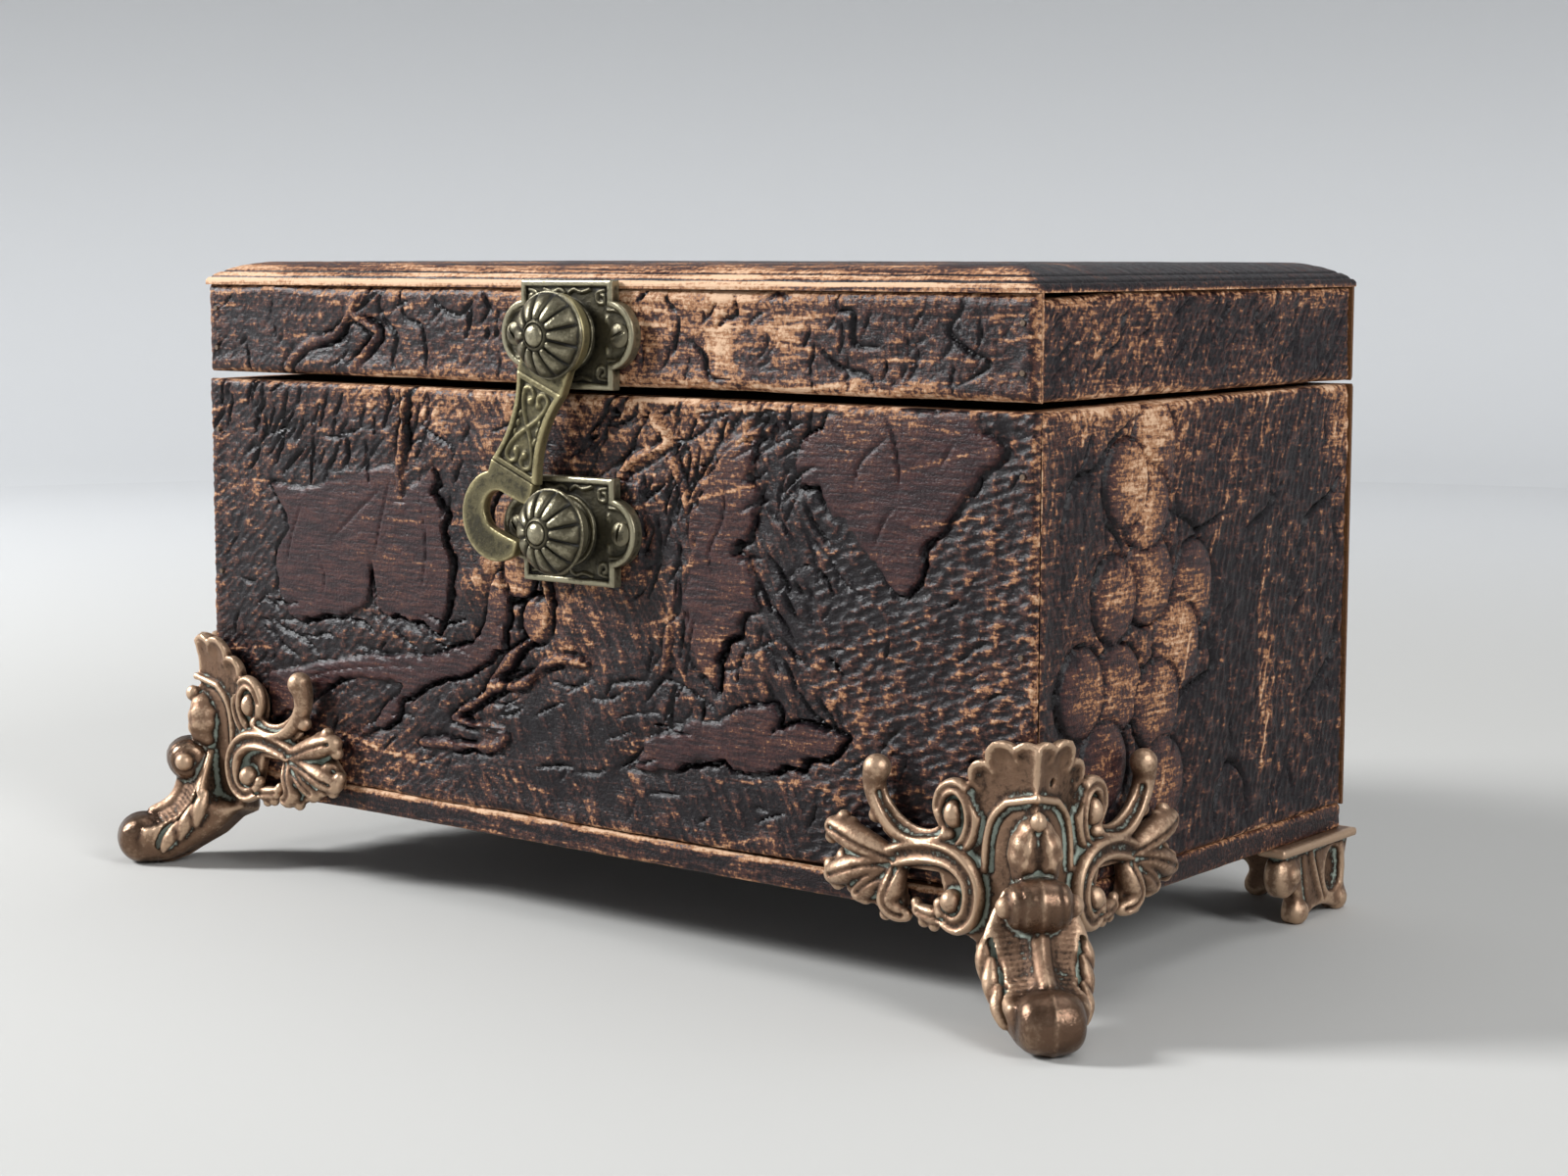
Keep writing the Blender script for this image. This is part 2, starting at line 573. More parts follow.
vineBand = [(-106, 25), (-95.5, 28), (-83, 31), (-68.5, 33.5), (-54.5, 35), (-43, 36.5), (-33, 39.5),
            (-29.5, 44), (-27, 51.5), (-25, 57), (-19.5, 57), (-21, 52.5), (-23, 39.5), (-29.5, 35),
            (-35.5, 32.5), (-44, 30), (-50.5, 27), (-57.5, 23.5), (-60, 18.5), (-65.5, 16), (-73, 13),
            (-66, 18.5), (-60, 24), (-57.5, 27), (-61.5, 28), (-72, 27.5), (-79, 27), (-86.5, 23),
            (-95.5, 18), (-105, 14)]
middleLeaf = [(54, 91.5), (52.5, 87.5), (53, 86), (51, 83.5), (55, 80), (53, 73.5), (51.5, 70),
              (47.5, 68.5), (47.5, 66), (51.5, 65), (54, 61.5), (53, 57.5), (54, 55), (50.5, 53.5),
              (49.5, 48.5), (46, 47.5), (43, 42), (43, 35.5), (38, 40), (34.5, 46), (33, 56), (37, 65),
              (36.5, 74), (40, 83), (47, 90)]
smallLeaf = [(16.5, 15), (22, 19), (21, 22), (27.5, 24), (32.5, 25.5), (33.5, 27.5), (43, 28.5), (48, 31.5),
             (54, 33.5), (59.5, 33.5), (60.5, 30.5), (59, 28), (64.5, 30.5), (70, 30.5), (78.5, 28.5),
             (75.5, 25), (72.5, 23.5), (67, 23), (66.5, 21), (61, 21), (61, 19.5), (51.5, 18), (47.5, 18.5),
             (45, 20.5), (42.5, 19), (36.5, 18), (31.5, 16.5), (24.5, 15.5)]
hangingLeaf = [(73.5, 97.5), (72.5, 95), (66.5, 91.5), (65.5, 86), (66, 82), (71.5, 83), (72, 80),
               (75.5, 75.5), (79, 77), (81, 73), (84, 70), (88, 65), (92, 61), (94, 60.5), (97.5, 64.5),
               (98.5, 69.5), (101, 73.5), (103.5, 74.5), (106.5, 79), (108.5, 82), (111.5, 86.5),
               (116, 89.5), (119.5, 92), (117.5, 94), (113, 96), (109.5, 99.5)]
frontRidges = [([(-9.5, 57), (-8.5, 52), (-10, 45), (-17, 40), (-24.5, 33.5), (-27, 29.5)], 2.0),
               ([(3.5, 38), (-5.5, 38), (-12.5, 34.5), (-17.5, 31), (-26, 30)], 2.0),
               ([(-27, 29.5), (-29.5, 27), (-37, 23), (-39, 21), (-33, 20), (-26, 20), (-22.5, 18.5),
                 (-25, 16), (-32, 15), (-41, 14.5), (-50.5, 14)], 1.8),
               ([(24.5, 95), (27.5, 92), (28.5, 90), (24.5, 88), (18, 85.5), (15, 82.5)], 1.9),
               ([(28.5, 89.5), (30.5, 85), (32.5, 81), (35, 75), (35.5, 70.5), (36.5, 65.5), (34, 61.5),
                 (31.5, 57.5), (29.5, 52.5), (28.6, 46), (27.5, 38)], 1.9),
               ([(58.5, 94.5), (53, 93), (47, 90.5), (43.5, 87.5), (40, 83), (36.5, 78), (36.5, 74.5)],
                1.8), ([(-55, 99), (-56, 90), (-57.5, 79), (-57, 71)], 2.2)]
frontCuts = [([(-63.5, 75), (-72.5, 68.5), (-81, 62)], 1.1, 0.5),
             ([(-67.5, 57), (-67, 53), (-65.5, 48)], 1.8, 1.1),
             ([(-96.5, 98.5), (-99, 91), (-98.5, 88.5), (-105.5, 80.5)], 1.6, 0.9),
             ([(-76, 98.5), (-79.5, 92.5), (-80.5, 87)], 1.4, 0.8),
             ([(-46.5, 98.5), (-47.5, 93), (-49.5, 91), (-43.5, 88), (-38.5, 86), (-39.5, 82.5)], 1.5, 0.9),
             ([(-33, 91.5), (-35.5, 87.5)], 1.3, 0.7),
             ([(43.5, 99), (42.5, 96.5), (39.5, 93.5), (35, 91), (30, 89.5)], 1.4, 0.8),
             ([(33.5, 45.5), (36.5, 39.5), (42.5, 35)], 1.3, 0.8),
             ([(26.5, 37), (34, 35), (43, 31)], 1.6, 0.8),
             ([(88, 99), (91, 94.5), (92.5, 88.5), (93, 82)], 1.3, 0.6),
             ([(90, 94), (84, 89.5), (82, 87), (81, 83)], 1.2, 0.55), ([(106.5, 93), (103, 88)], 1.1, 0.5),
             ([(91, 78.5), (88, 74.5), (86.5, 70.5)], 1.1, 0.5),
             ([(-60, 78), (-64, 66), (-66, 58)], 1.0, 0.45), ([(-92, 70), (-96, 62), (-98, 54)], 0.9, 0.35),
             ([(-50, 74), (-48, 62), (-50, 50)], 0.9, 0.4), ([(-88, 60), (-84, 52), (-86, 46)], 0.9, 0.4),
             ([(-100, 23), (-84, 28), (-66, 31), (-46, 33)], 0.8, 0.35),
             ([(46, 84), (45, 74), (41, 66), (44, 58)], 1.0, 0.5),
             ([(12.4, 96.5), (13.0, 96.5), (13.6, 96.5)], 1.9, 2.0),
             ([(21.2, 95.5), (24.2, 95.0)], 0.9, 1.2), ([(22.2, 96.5), (23.5, 96.3)], 0.8, 1.0)]
front = newRelief(frontHigh[0] - frontLow[0], frontHigh[2] - frontLow[2], step)
for outline in (bigLeaf, vineBand, middleLeaf, smallLeaf, hangingLeaf):
    addLeaf(front, outline)
for points, width in frontRidges:
    addRidge(front, points, width)
for spot in ((-17.5, 58, 5, 6.8), (-20.5, 70, 5, 6.5), (-12, 47, 4.5, 5.5)):
    addGrape(front, *spot)
for points, width, depth in frontCuts:
    addCut(front, points, width, depth)
addGouges(front, *frontSize["gouges"])
for seed, count, angle, spread, region in ((19, 80, 45, 35, (2, 66, 76, 99)),
                                           (29, 55, 60, 40, (-124, -48, 80, 99)),
                                           (39, 30, -50, 25, (54, 84, 30, 76)),
                                           (49, 26, 30, 30, (-30, 30, 12, 36)),
                                           (59, 22, -15, 25, (-108, -38, 34, 46)),
                                           (69, 24, 75, 20, (22, 40, 30, 84))):
    addGouges(front, seed, count, angle, spread, (4, 14), (1.0, 1.9), (0.5, 1.2), region)
addScratches(front, *frontSize["scratches"])
for spot in ((80, 71, 9, 14, 1.0), (44, 92, 8, 6, 0.7), (-98, 60, 6, 12, 0.6), (-80, 78, 24, 5, 1.0),
             (90, 98, 18, 4, 0.8), (34, 58, 4, 22, 0.9), (-80, 30, 26, 4, 0.5), (40, 27, 14, 5, 0.6)):
    addPatch(front, *spot, layer="soft")
for spot in ((-24, 68, 10, 22, 0.2), (2, 72, 30, 34, 0.11), (0, 95, 80, 6, 0.22), (-45, 90, 12, 9, 0.12),
             (28, 86, 28, 11, 0.17), (-10, 46, 15, 14, 0.16), (42, 42, 26, 11, 0.12),
             (98, 28, 36, 26, 0.10), (-75, 12, 50, 10, 0.10), (-62, 60, 16, 12, 0.05),
             (118, 60, 12, 40, 0.08)):
    addPatch(front, *spot)
shape = carve(front, frontSize["ground"], frontSize["wall"], frontSize["stipple"], frontSize["seed"],
              [plateSeat("lower_plate", frontLow[2])])
half = front["width"] / 2
opened = [(-0.3 * half, 0.0), (half, frontSize["gap"])]
settle(frontMesh("front_board", front, shape, opened), "case", "burnt_wood", "front_board")
print("front board carved")

# End boards: a bunch of grapes hangs on each, drawn from the front edge; the left one is the right one
# turned about.
endSill = nodeBox("right_board")[0][2]
backTop = nodeBox("back_board")[1][2] - endSill
frontTop = frontHigh[2] - endSill
endSize = {"ground": 0.42, "wall": 0.55, "seed": 11, "front": frontLow[1], "cut": (2.2, 1.1),
           "grape": (8.3, 8.8), "coarse": 1.4, "rough": 0.35, "scratches": (87, 34, 80, 16, (8, 30), 0.3),
           "stipple": ((-80, -15, -68, 3.4, 1.6, 0.28), (-15, 80, 74, 4.6, 1.9, 0.38))}
sideGrapes = [(46.5, 90.5), (45, 62.5), (63.5, 59.5), (31.5, 59.5), (43, 78), (35.5, 83.5), (57, 47),
              (33, 40.5), (19, 41), (49, 35), (28, 24.5), (51.5, 18)]
sideCuts = [[(102.5, 79), (95.5, 73.5), (86, 70)],
            [(131, 80.5), (126.5, 75), (115.5, 70.5), (111, 64), (107, 54)],
            [(38, 97.5), (29, 92), (23, 87.5), (15, 85.5), (10.5, 77.5), (10, 72)],
            [(52.5, 77), (62, 73.5), (66, 71.5), (76, 74.5)], [(26.5, 76), (31.5, 73.5), (34, 70)],
            [(130.5, 46), (129, 38), (122.5, 32.5), (114, 26.5)], [(108, 60), (106, 52), (103.5, 46)],
            [(73, 50), (71.5, 44.5), (72, 40), (62.5, 37), (58.5, 33.5)],
            [(11.5, 46), (9, 40), (12, 32), (11.5, 26)], [(38.5, 25.5), (42, 21.5), (42, 19)],
            [(74.5, 2), (75.5, 10.5), (80.5, 18), (87.5, 13), (88.5, 2.5)]]
for name, way in (("right_board", 1), ("left_board", -1)):
    low, high = nodeBox(name)
    shift = (low[1] + high[1]) / 2 - endSize["front"]
    end = newRelief(high[1] - low[1], frontTop, step * (1.0 if way > 0 else endSize["coarse"]))
    for u, v in sideGrapes:
        addGrape(end, way * (u - shift), v, endSize["grape"][0] + v % 1.7, endSize["grape"][1] + u % 1.3)
        addPatch(end, way * (u - shift), v, 9, 9, 0.20)
    for points in sideCuts:
        addCut(end, [(way * (u - shift), v) for u, v in points], *endSize["cut"])
    addGouges(end, endSize["seed"] + way, 70, 75 * way, 30, (5, 14), (0.8, 1.6), (0.3, 0.8))
    for u, *spot in ((20, 97, 40, 5, 0.2), (96, 33, 3, 14, 0.34), (130, 90, 8, 12, 0.3),
                     (80, 88, 30, 12, 0.10)):
        addPatch(end, way * (u - shift), *spot)
    addScratches(end, *endSize["scratches"])
    end["rough"] *= endSize["rough"]
    shape = carve(end, endSize["ground"], endSize["wall"], endSize["stipple"], endSize["seed"])
    half = end["width"] / 2
    tops = [(-half * way, frontTop), (half * way, backTop)][::way]
    settle(endMesh(name, end, shape, way, tops), "case", "burnt_wood", name)
print("end boards carved")

# Lid rims: the vine runs on over the front; loose gouges on the ends.
lidSize = {"ground": 0.36, "wall": 0.5, "seed": 23, "arris": 2.3, "slack": (1.5, 0.3), "slackRun": 34,
           "cut": (1.9, 1.0), "gouges": (5, 80, 60, 40, (3, 9), (0.8, 1.5), (0.3, 0.9)),
           "scratches": (97, 40, 2, 8, (8, 40), 0.3),
           "front": ((-140, -20, 38, 3.4, 1.4, 0.24), (-20, 140, -62, 3.0, 1.4, 0.20)),
           "end": ((-80, 80, 52, 3.6, 1.5, 0.30),)}
lidRidges = [([(-69, 21.5), (-73, 16.5), (-75, 14), (-79.5, 10), (-87.5, 8), (-93, 5), (-97, 1.5)], 2.4),
             ([(-73, 15.5), (-67, 12.5), (-64, 10.5), (-68, 6.5), (-74, 1.5)], 1.8)]
lidCuts = [[(-63, 21), (-71.5, 16)],
           [(-61.5, 21), (-63.5, 17.5), (-61, 13), (-57.5, 10), (-59, 4), (-56.5, 1)],
           [(-45.5, 20), (-41, 16.5), (-35.5, 15.5), (-30.5, 19.5)], [(-28, 21), (-25.5, 16)],
           [(-32, 17.5), (-33, 11.5)], [(-56, 21), (-54.5, 14.5), (-48.5, 12), (-47, 1.5)],
           [(23, 21.5), (20, 19)], [(29, 21), (29, 19.5), (31.5, 17)], [(32.5, 15.5), (30.5, 7.5)],
           [(48, 21), (48.5, 16.5), (44, 15.5)], [(56, 20), (61, 21), (63.5, 19.5)],
           [(35, 11), (39.5, 7.5), (41, 3), (47, 2.5)],
           [(76.5, 21), (76.5, 18), (80.5, 17.5), (81, 11), (87.5, 10.5)],
           [(71.5, 10), (77, 6), (84.5, 4.5), (86, 2)],
           [(108.5, 21), (108, 18), (105, 14), (110, 10), (115, 7.5), (107.5, 3)],
           [(-26.9, 9.6), (-26.7, 12.4)], [(-23.8, 10.2), (-23.6, 12.8)]]
low, high = nodeBox("lid_front_rim")
rim = newRelief(high[0] - low[0], high[2] - low[2], step)
for points, width in lidRidges:
    addRidge(rim, points, width)
for points in lidCuts:
    addCut(rim, points, *lidSize["cut"])
addGouges(rim, *lidSize["gouges"])
addScratches(rim, *lidSize["scratches"])
for spot in ((44.5, 11, 5, 9, 0.35), (67, 16, 8, 5, 0.22), (61.5, 11.5, 5, 4, 0.22), (0, 10, 34, 12, 0.16),
             (30, 20, 60, 3, 0.14), (40, 12, 75, 18, 0.05)):
    addPatch(rim, *spot)
shape = carve(rim, lidSize["ground"], lidSize["wall"], lidSize["front"], lidSize["seed"],
              [plateSeat("upper_plate", low[2])], lidSize["arris"])
settle(frontMesh("lid_front_rim", rim, shape), "lid", "burnt_wood", "lid_front_rim")
for name, way in (("lid_right_rim", 1), ("lid_left_rim", -1)):
    low, high = nodeBox(name)
    end = newRelief(high[1] - low[1], high[2] - low[2], step)
    addGouges(end, 31 + way, 70, 50 * way, 35, (4, 11), (0.8, 1.5), (0.3, 0.8))
    addPatch(end, -40 * way, 11, 22, 14, 0.14)
    addPatch(end, 45 * way, 18, 22, 6, 0.14)
    shape = carve(end, lidSize["ground"], lidSize["wall"], lidSize["end"], lidSize["seed"] + 4, (),
                  lidSize["arris"])
    half = end["width"] / 2
    tall = end["height"]
    slack = lidSize["slack"][0 if way > 0 else 1]
    tops = [(-half * way, tall - slack), ((lidSize["slackRun"] - half) * way, tall),
            (half * way, tall)][::way]
    settle(endMesh(name, end, shape, way, tops), "lid", "burnt_wood", name)
print("lid rims carved")

# Lid top: rounded edge with two burnt lines, long rubbed streaks and a few scratches along the grain.
topSize = {"coarse": 1.5, "run": 13.0, "edge": 1.6, "lines": (1.0, 3.2), "lineHalf": 0.4, "lineDeep": 0.35,
           "seed": 41, "streak": (14, 1.6), "grain": (9, 1.1), "grainDeep": 0.18, "grainSeed": 8,
           "arris": 0.5, "arrisReach": 0.35, "gouges": (17, 90, 0, 6, (10, 60), (0.5, 1.2), (0.08, 0.3)),
           "burn": {"all": 0.55, "lines": 0.5, "middle": 0.2, "most": 1.2},
           "wear": {"all": 0.02, "streaks": 0.36, "edge": 0.3, "edgeReach": 5, "front": 0.3,
                    "frontReach": 7, "back": -0.1, "lines": -0.9, "cut": -0.5}}
low, high = nodeBox("lid_top")
nearEdge = (0, 0.12, 0.3, 0.55, 0.8, 1.0, 1.2, 1.5, 1.9, 2.3, 2.7, 2.95, 3.2, 3.45, 3.8, 4.3, 5.0)
top = newRelief(high[0] - low[0], high[1] - low[1], step * topSize["coarse"], nearEdge)
addGouges(top, *topSize["gouges"])
u, v = top["us"][:, None], top["vs"][None, :]
border = borderOf(top)
rise = high[2] - low[2] - topSize["edge"]
bend = (topSize["run"] ** 2 + rise ** 2) / (2 * rise)
drop = bend - np.sqrt(bend ** 2 - np.clip(topSize["run"] - border, 0, None) ** 2)
lines = sum(np.clip(1 - np.abs(border - place) / topSize["lineHalf"], 0, 1) for place in topSize["lines"])
stretch, cell = topSize["streak"]
streaks = gridNoise(u / stretch, v, cell, topSize["seed"]) - 0.5
stretch, cell = topSize["grain"]
grain = gridNoise(u / stretch, v, cell, topSize["grainSeed"])
height = (-drop - topSize["lineDeep"] * lines - top["cut"] - topSize["grainDeep"] * grain
          - topSize["arris"] * np.exp(-border / topSize["arrisReach"]))
shares = topSize["burn"]
burn = shares["all"] + shares["lines"] * lines + top["cut"] + shares["middle"] * smoothStep(4, 14, border)
burn = np.clip(burn, 0, shares["most"])
frontSide = smoothStep(-4, 4, top["width"] / 2 - u - np.minimum(v, top["height"] - v))
shares = topSize["wear"]
nearEdges = shares["edge"] * np.exp(-border / shares["edgeReach"])
nearEdges = nearEdges + shares["front"] * np.exp(-v / shares["frontReach"])
wear = (shares["all"] + shares["streaks"] * streaks + frontSide * nearEdges
        + shares["back"] * (1 - frontSide) + shares["lines"] * lines + shares["cut"] * top["cut"])
half = top["width"] / 2
thick = high[2] - low[2]
piece = boardMesh("lid_top_rubbed", top, height, burn, wear, [(half, thick), (-half, thick)],
                  ((low[0] + high[0]) / 2, low[1], high[2]), (1, 0, 0), (0, 1, 0), (0, 0, 1),
                  (woodTop, woodInside))
settle(piece, "lid", "burnt_wood", "lid_top")

# Bottom board: one strip of worn grain runs round its four edges, barest along the upper arris of the front.
low, high = nodeBox("bottom_board")
endless = 1e6
soleSize = {"coarse": 1.3, "corner": 1.2, "seed": 53, "arris": 0.9, "ground": 0.2, "bare": (0.30, 0.05),
            "kept": 0.12, "stipple": ((-endless, endless, 4, 9, 1.2, 0.16),)}
ring, facing = [], []
corners = ((low[0], low[1]), (high[0], low[1]), (high[0], high[1]), (low[0], high[1]))
for turn, (cx, cy) in enumerate(corners):
    for angle in np.linspace(math.pi * (1 + turn / 2), math.pi * (1.5 + turn / 2), 5):
        way = np.array((math.cos(angle), math.sin(angle)))
        inset = soleSize["corner"] * np.array((1 if cx == low[0] else -1, 1 if cy == low[1] else -1))
        ring.append(np.array((cx, cy)) + inset + soleSize["corner"] * way)
        facing.append(way)
ring, facing = np.array(ring + ring[:1]), np.array(facing + facing[:1])
around = np.concatenate(([0], np.cumsum(np.hypot(*np.diff(ring, axis=0).T))))
sole = newRelief(around[-1], high[2] - low[2], step * soleSize["coarse"], (0, 0.15, 0.4, 0.8))
sole["us"] = sole["us"][:-1] + around[-1] / 2
frontRun = sole["us"][:, None] < high[0] - low[0]
for key in ("edge", "crown", "dome", "cut", "worn", "soft", "rough"):
    sole[key] = sole[key][:-1]
upper = smoothStep(1.8, 0.4, high[2] - low[2] - sole["vs"][None, :])
sole["worn"] += np.where(frontRun, *soleSize["bare"]) * upper - soleSize["kept"]
sole["width"] = endless
height, burn, wear = carve(sole, soleSize["ground"], 0, soleSize["stipple"], soleSize["seed"], (),
                           soleSize["arris"])
spots = [np.interp(sole["us"], around, line[:, k])[:, None] for line in (ring, facing) for k in (0, 1)]
points = np.stack((spots[0] + spots[2] * height, spots[1] + spots[3] * height,
                   low[2] + sole["vs"][None, :] + 0 * height), -1).reshape(-1, 3)
index = np.arange(height.size).reshape(height.shape)
faces = ringFaces(index)
slots = [0] * len(faces) + [1, 2]
faces += [index[::-1, 0].tolist(), index[:, -1].tolist()]
piece = newPiece("bottom_board_worn", points, faces, (woodAcross, woodSole, woodInside),
                 {"burn": burn, "wear": wear}, slots)
settle(piece, "case", "burnt_wood", "bottom_board")
print("lid top and bottom done")


# Sculpting grid: distances in millimetres to the metal's surface, negative inside.
claySize = {"margin": 4.0, "band": 3.0, "hollowReach": 1.5, "level": 0.45, "gain": 2.2}


def newClay(low, spans, step):
    axes = [a + step * np.arange(round(span / step) + 1) for a, span in zip(low, spans)]
    field = np.full([len(axis) for axis in axes], claySize["margin"], np.float32)
    return {"axes": axes, "step": step, "field": field}


def blend(a, b, k):
    h = np.clip(0.5 + 0.5 * (b - a) / k, 0, 1)
    return b + (a - b) * h - k * h * (1 - h)


def onGrid(axes):
    x, y, z = axes
    return x[:, None, None], y[None, :, None], z[None, None, :]


def mould(clay, low, high, distance, k=0.6, dig=False):
    margin = claySize["margin"]
    spot = tuple(slice(*np.searchsorted(axis, (a - margin, b + margin)))
                 for axis, a, b in zip(clay["axes"], low, high))
    d = distance(*onGrid(axis[span] for axis, span in zip(clay["axes"], spot)))
    old = clay["field"][spot]
    clay["field"][spot] = -blend(-old, d, k) if dig else blend(old, d, k)


def addTube(clay, points, k=0.6, dig=False):
    p = np.asarray(points, float)

    def distance(x, y, z):
        best = 1e9
        for a, b in zip(p, p[1:]):
            way = b[:3] - a[:3]
            px, py, pz = x - a[0], y - a[1], z - a[2]
            t = np.clip((px * way[0] + py * way[1] + pz * way[2]) / max(way @ way, 1e-9), 0, 1)
            d = np.sqrt((px - t * way[0]) ** 2 + (py - t * way[1]) ** 2 + (pz - t * way[2]) ** 2)
            best = np.minimum(best, d - a[3] - t * (b[3] - a[3]))
        return best

    mould(clay, (p[:, :3] - p[:, 3:]).min(0), (p[:, :3] + p[:, 3:]).max(0), distance, k, dig)


def addBall(clay, centre, radii, k=0.6, dig=False):
    c, r = np.array(centre, float), np.array(radii, float)

    def distance(x, y, z):
        q = np.sqrt(((x - c[0]) / r[0]) ** 2 + ((y - c[1]) / r[1]) ** 2 + ((z - c[2]) / r[2]) ** 2)
        return (q - 1) * r.min()

    mould(clay, c - r, c + r, distance, k, dig)


def hollows(field, reach):
    soft = np.clip(field, -0.6, 0.6)
    for axis in range(3):
        total = np.cumsum(soft, axis=axis)
        first = np.take(total, np.clip(np.arange(soft.shape[axis]) - reach - 1, 0, None), axis)
        last = np.take(total, np.clip(np.arange(soft.shape[axis]) + reach, None, soft.shape[axis] - 1),
                       axis)
        soft = (last - first) / (2 * reach + 1)
    return soft


# Closed skin of the clay; the attribute "hollow" is low on what stands out and high in the recesses.
def castPiece(name, clay, origin, material, mirrored=False, sharp=60, polish=None):
    band = claySize["band"]
    grid = openvdb.FloatGrid(band)
    grid.copyFromArray(np.ascontiguousarray(np.clip(clay["field"], -band, band)))
    points, quads = grid.convertToQuads(isovalue=0.0)
    field = hollows(clay["field"], max(1, round(claySize["hollowReach"] / clay["step"])))
    cell = np.clip(np.floor(points).astype(int), 0, np.array(field.shape) - 2)
    part = points - cell
    near = np.zeros(len(points))
    for ahead in np.ndindex(2, 2, 2):
        share = np.prod(np.where(np.array(ahead) == 1, part, 1 - part), axis=1)
        near += share * field[tuple((cell + ahead).T)]
    values = {"hollow": np.clip(claySize["level"] - near * claySize["gain"], 0, 1)}
    low = np.array([axis[0] for axis in clay["axes"]])
    points = low + clay["step"] * np.asarray(points, float)
    if polish:
        values["polish"] = polish(*points.T)
    if mirrored:
        points = points * (-1, 1, 1)
        quads = quads[:, ::-1]
    return newPiece(name, points + origin, quads.tolist(), [material], values, sharp=sharp)


# Front feet: leg with rib and toe, two wings of volutes, horns and leaves, cartouche, scalloped crest and a
# nail hole. Wing points are reach from the corner, height over the ledge, stand-off and radius.
rootTwo = math.sqrt(2)
footSize = {"step": 0.45, "reach": 54, "span": 78, "height": 19.5, "tall": 64,
            "plate": 2.6, "rim": 0.5, "flare": 2.3, "flareFrom": 28, "flareRun": 13, "seam": 0.24,
            "seamHalf": 0.45}
legSize = {"profile": [(2.5, 31), (6.2, 25), (8.0, 20.9), (9.0, 18.2), (11.3, 15), (15.0, 13.0), (20, 12.0),
                       (22, 7), (21, 1), (17.3, -0.5), (11.9, 0.1), (7.4, 1.7), (3.8, 4.0), (-2.6, 7.6),
                       (-7, 11.7), (-10.7, 13.2), (-10.7, 19.4), (-1, 19.4), (-1, 31)],
           "heights": (-5, 0, 4.5, 9.5, 14.5, 19, 24, 30),
           "halves": (6.2, 7.4, 8.8, 9.9, 10.8, 11.2, 9.5, 6.5), "lean": 0.25, "channel": 0.9,
           "linePitch": 1.35, "slope": 0.42, "rib": 2.6}
rollSize = {"out": 6.8, "z": 27.6, "radius": 5.9, "belly": 8.4, "half": 6.6, "nick": 0.3, "nickAt": 4.2,
            "nickHalf": 0.45}
podSize = {"out": 2.6, "z": 37.2, "deep": 4.2, "tall": 7.4, "wide": 3.2, "tip": 48, "taper": 9, "dent": 0.2}
toeSize = {"out": 19.2, "z": 6.4, "radius": 6.6, "belly": 9.0, "half": 6.9}


def diagonal(out, side, height, *radius):
    return ((out + side) / rootTwo, (side - out) / rootTwo, height) + radius


def diagonalOf(x, y):
    return (x - y) / rootTwo, (x + y) / rootTwo


def wingPath(points):
    return curve([(-u, -p, footSize["height"] + w, r) for u, w, p, r in points])


def legDistance(x, y, z):
    out, side = diagonalOf(x, y)
    side = np.abs(side)
    d = outlineDistance(out, z, legSize["profile"])
    half = np.interp(z - legSize["lean"] * out, legSize["heights"], legSize["halves"])
    channel = smoothStep(2.0, 3.6, side) * (1 - smoothStep(half - 4.4, half - 0.2, side))
    channel = channel * smoothStep(2, 5, out + 0.3 * z - 4)
    lines = 0.8 + 0.2 * np.cos(2 * math.pi * (z - 0.55 * out) / legSize["linePitch"])
    slope = legSize["slope"] * np.clip(side - legSize["rib"], 0, None)
    return -blend(-(d + channel * lines * legSize["channel"] + slope), half - side, 2.2)


def bellied(size, side):
    return size["radius"] * np.sqrt(np.clip(1 - (side / size["belly"]) ** 2, 0.1, 1))


def rollDistance(x, y, z):
    out, side = diagonalOf(x, y)
    side = np.abs(side)
    nick = rollSize["nick"] * np.exp(-((side - rollSize["nickAt"]) / rollSize["nickHalf"]) ** 2)
    drop = np.hypot(out - rollSize["out"], (z - rollSize["z"]) * np.where(z > rollSize["z"], 1.12, 0.92))
    return -blend(bellied(rollSize, side) - nick - drop, rollSize["half"] - side, 1.4)


def podDistance(x, y, z):
    out, side = diagonalOf(x, y)
    side = np.abs(side)
    reach = podSize["wide"] * np.clip((podSize["tip"] - z) / podSize["taper"], 0.35, 1) ** 0.6
    q = np.sqrt(((out - podSize["out"]) / podSize["deep"]) ** 2 + ((side - 0.72 * reach) / reach) ** 2
                + ((z - podSize["z"]) / podSize["tall"]) ** 2)
    dents = np.cos(1.1 * z + 0.7 * side) * np.cos(1.7 * side - 0.5 * z) * smoothStep(0.6, 1.8, side)
    return (q - 1) * 3.0 + podSize["dent"] * dents


def toeDistance(x, y, z):
    out, side = diagonalOf(x, y)
    side = np.abs(side)
    drop = np.hypot(out - toeSize["out"], z - toeSize["z"])
    return -blend(bellied(toeSize, side) - drop, toeSize["half"] - side, 2.4)


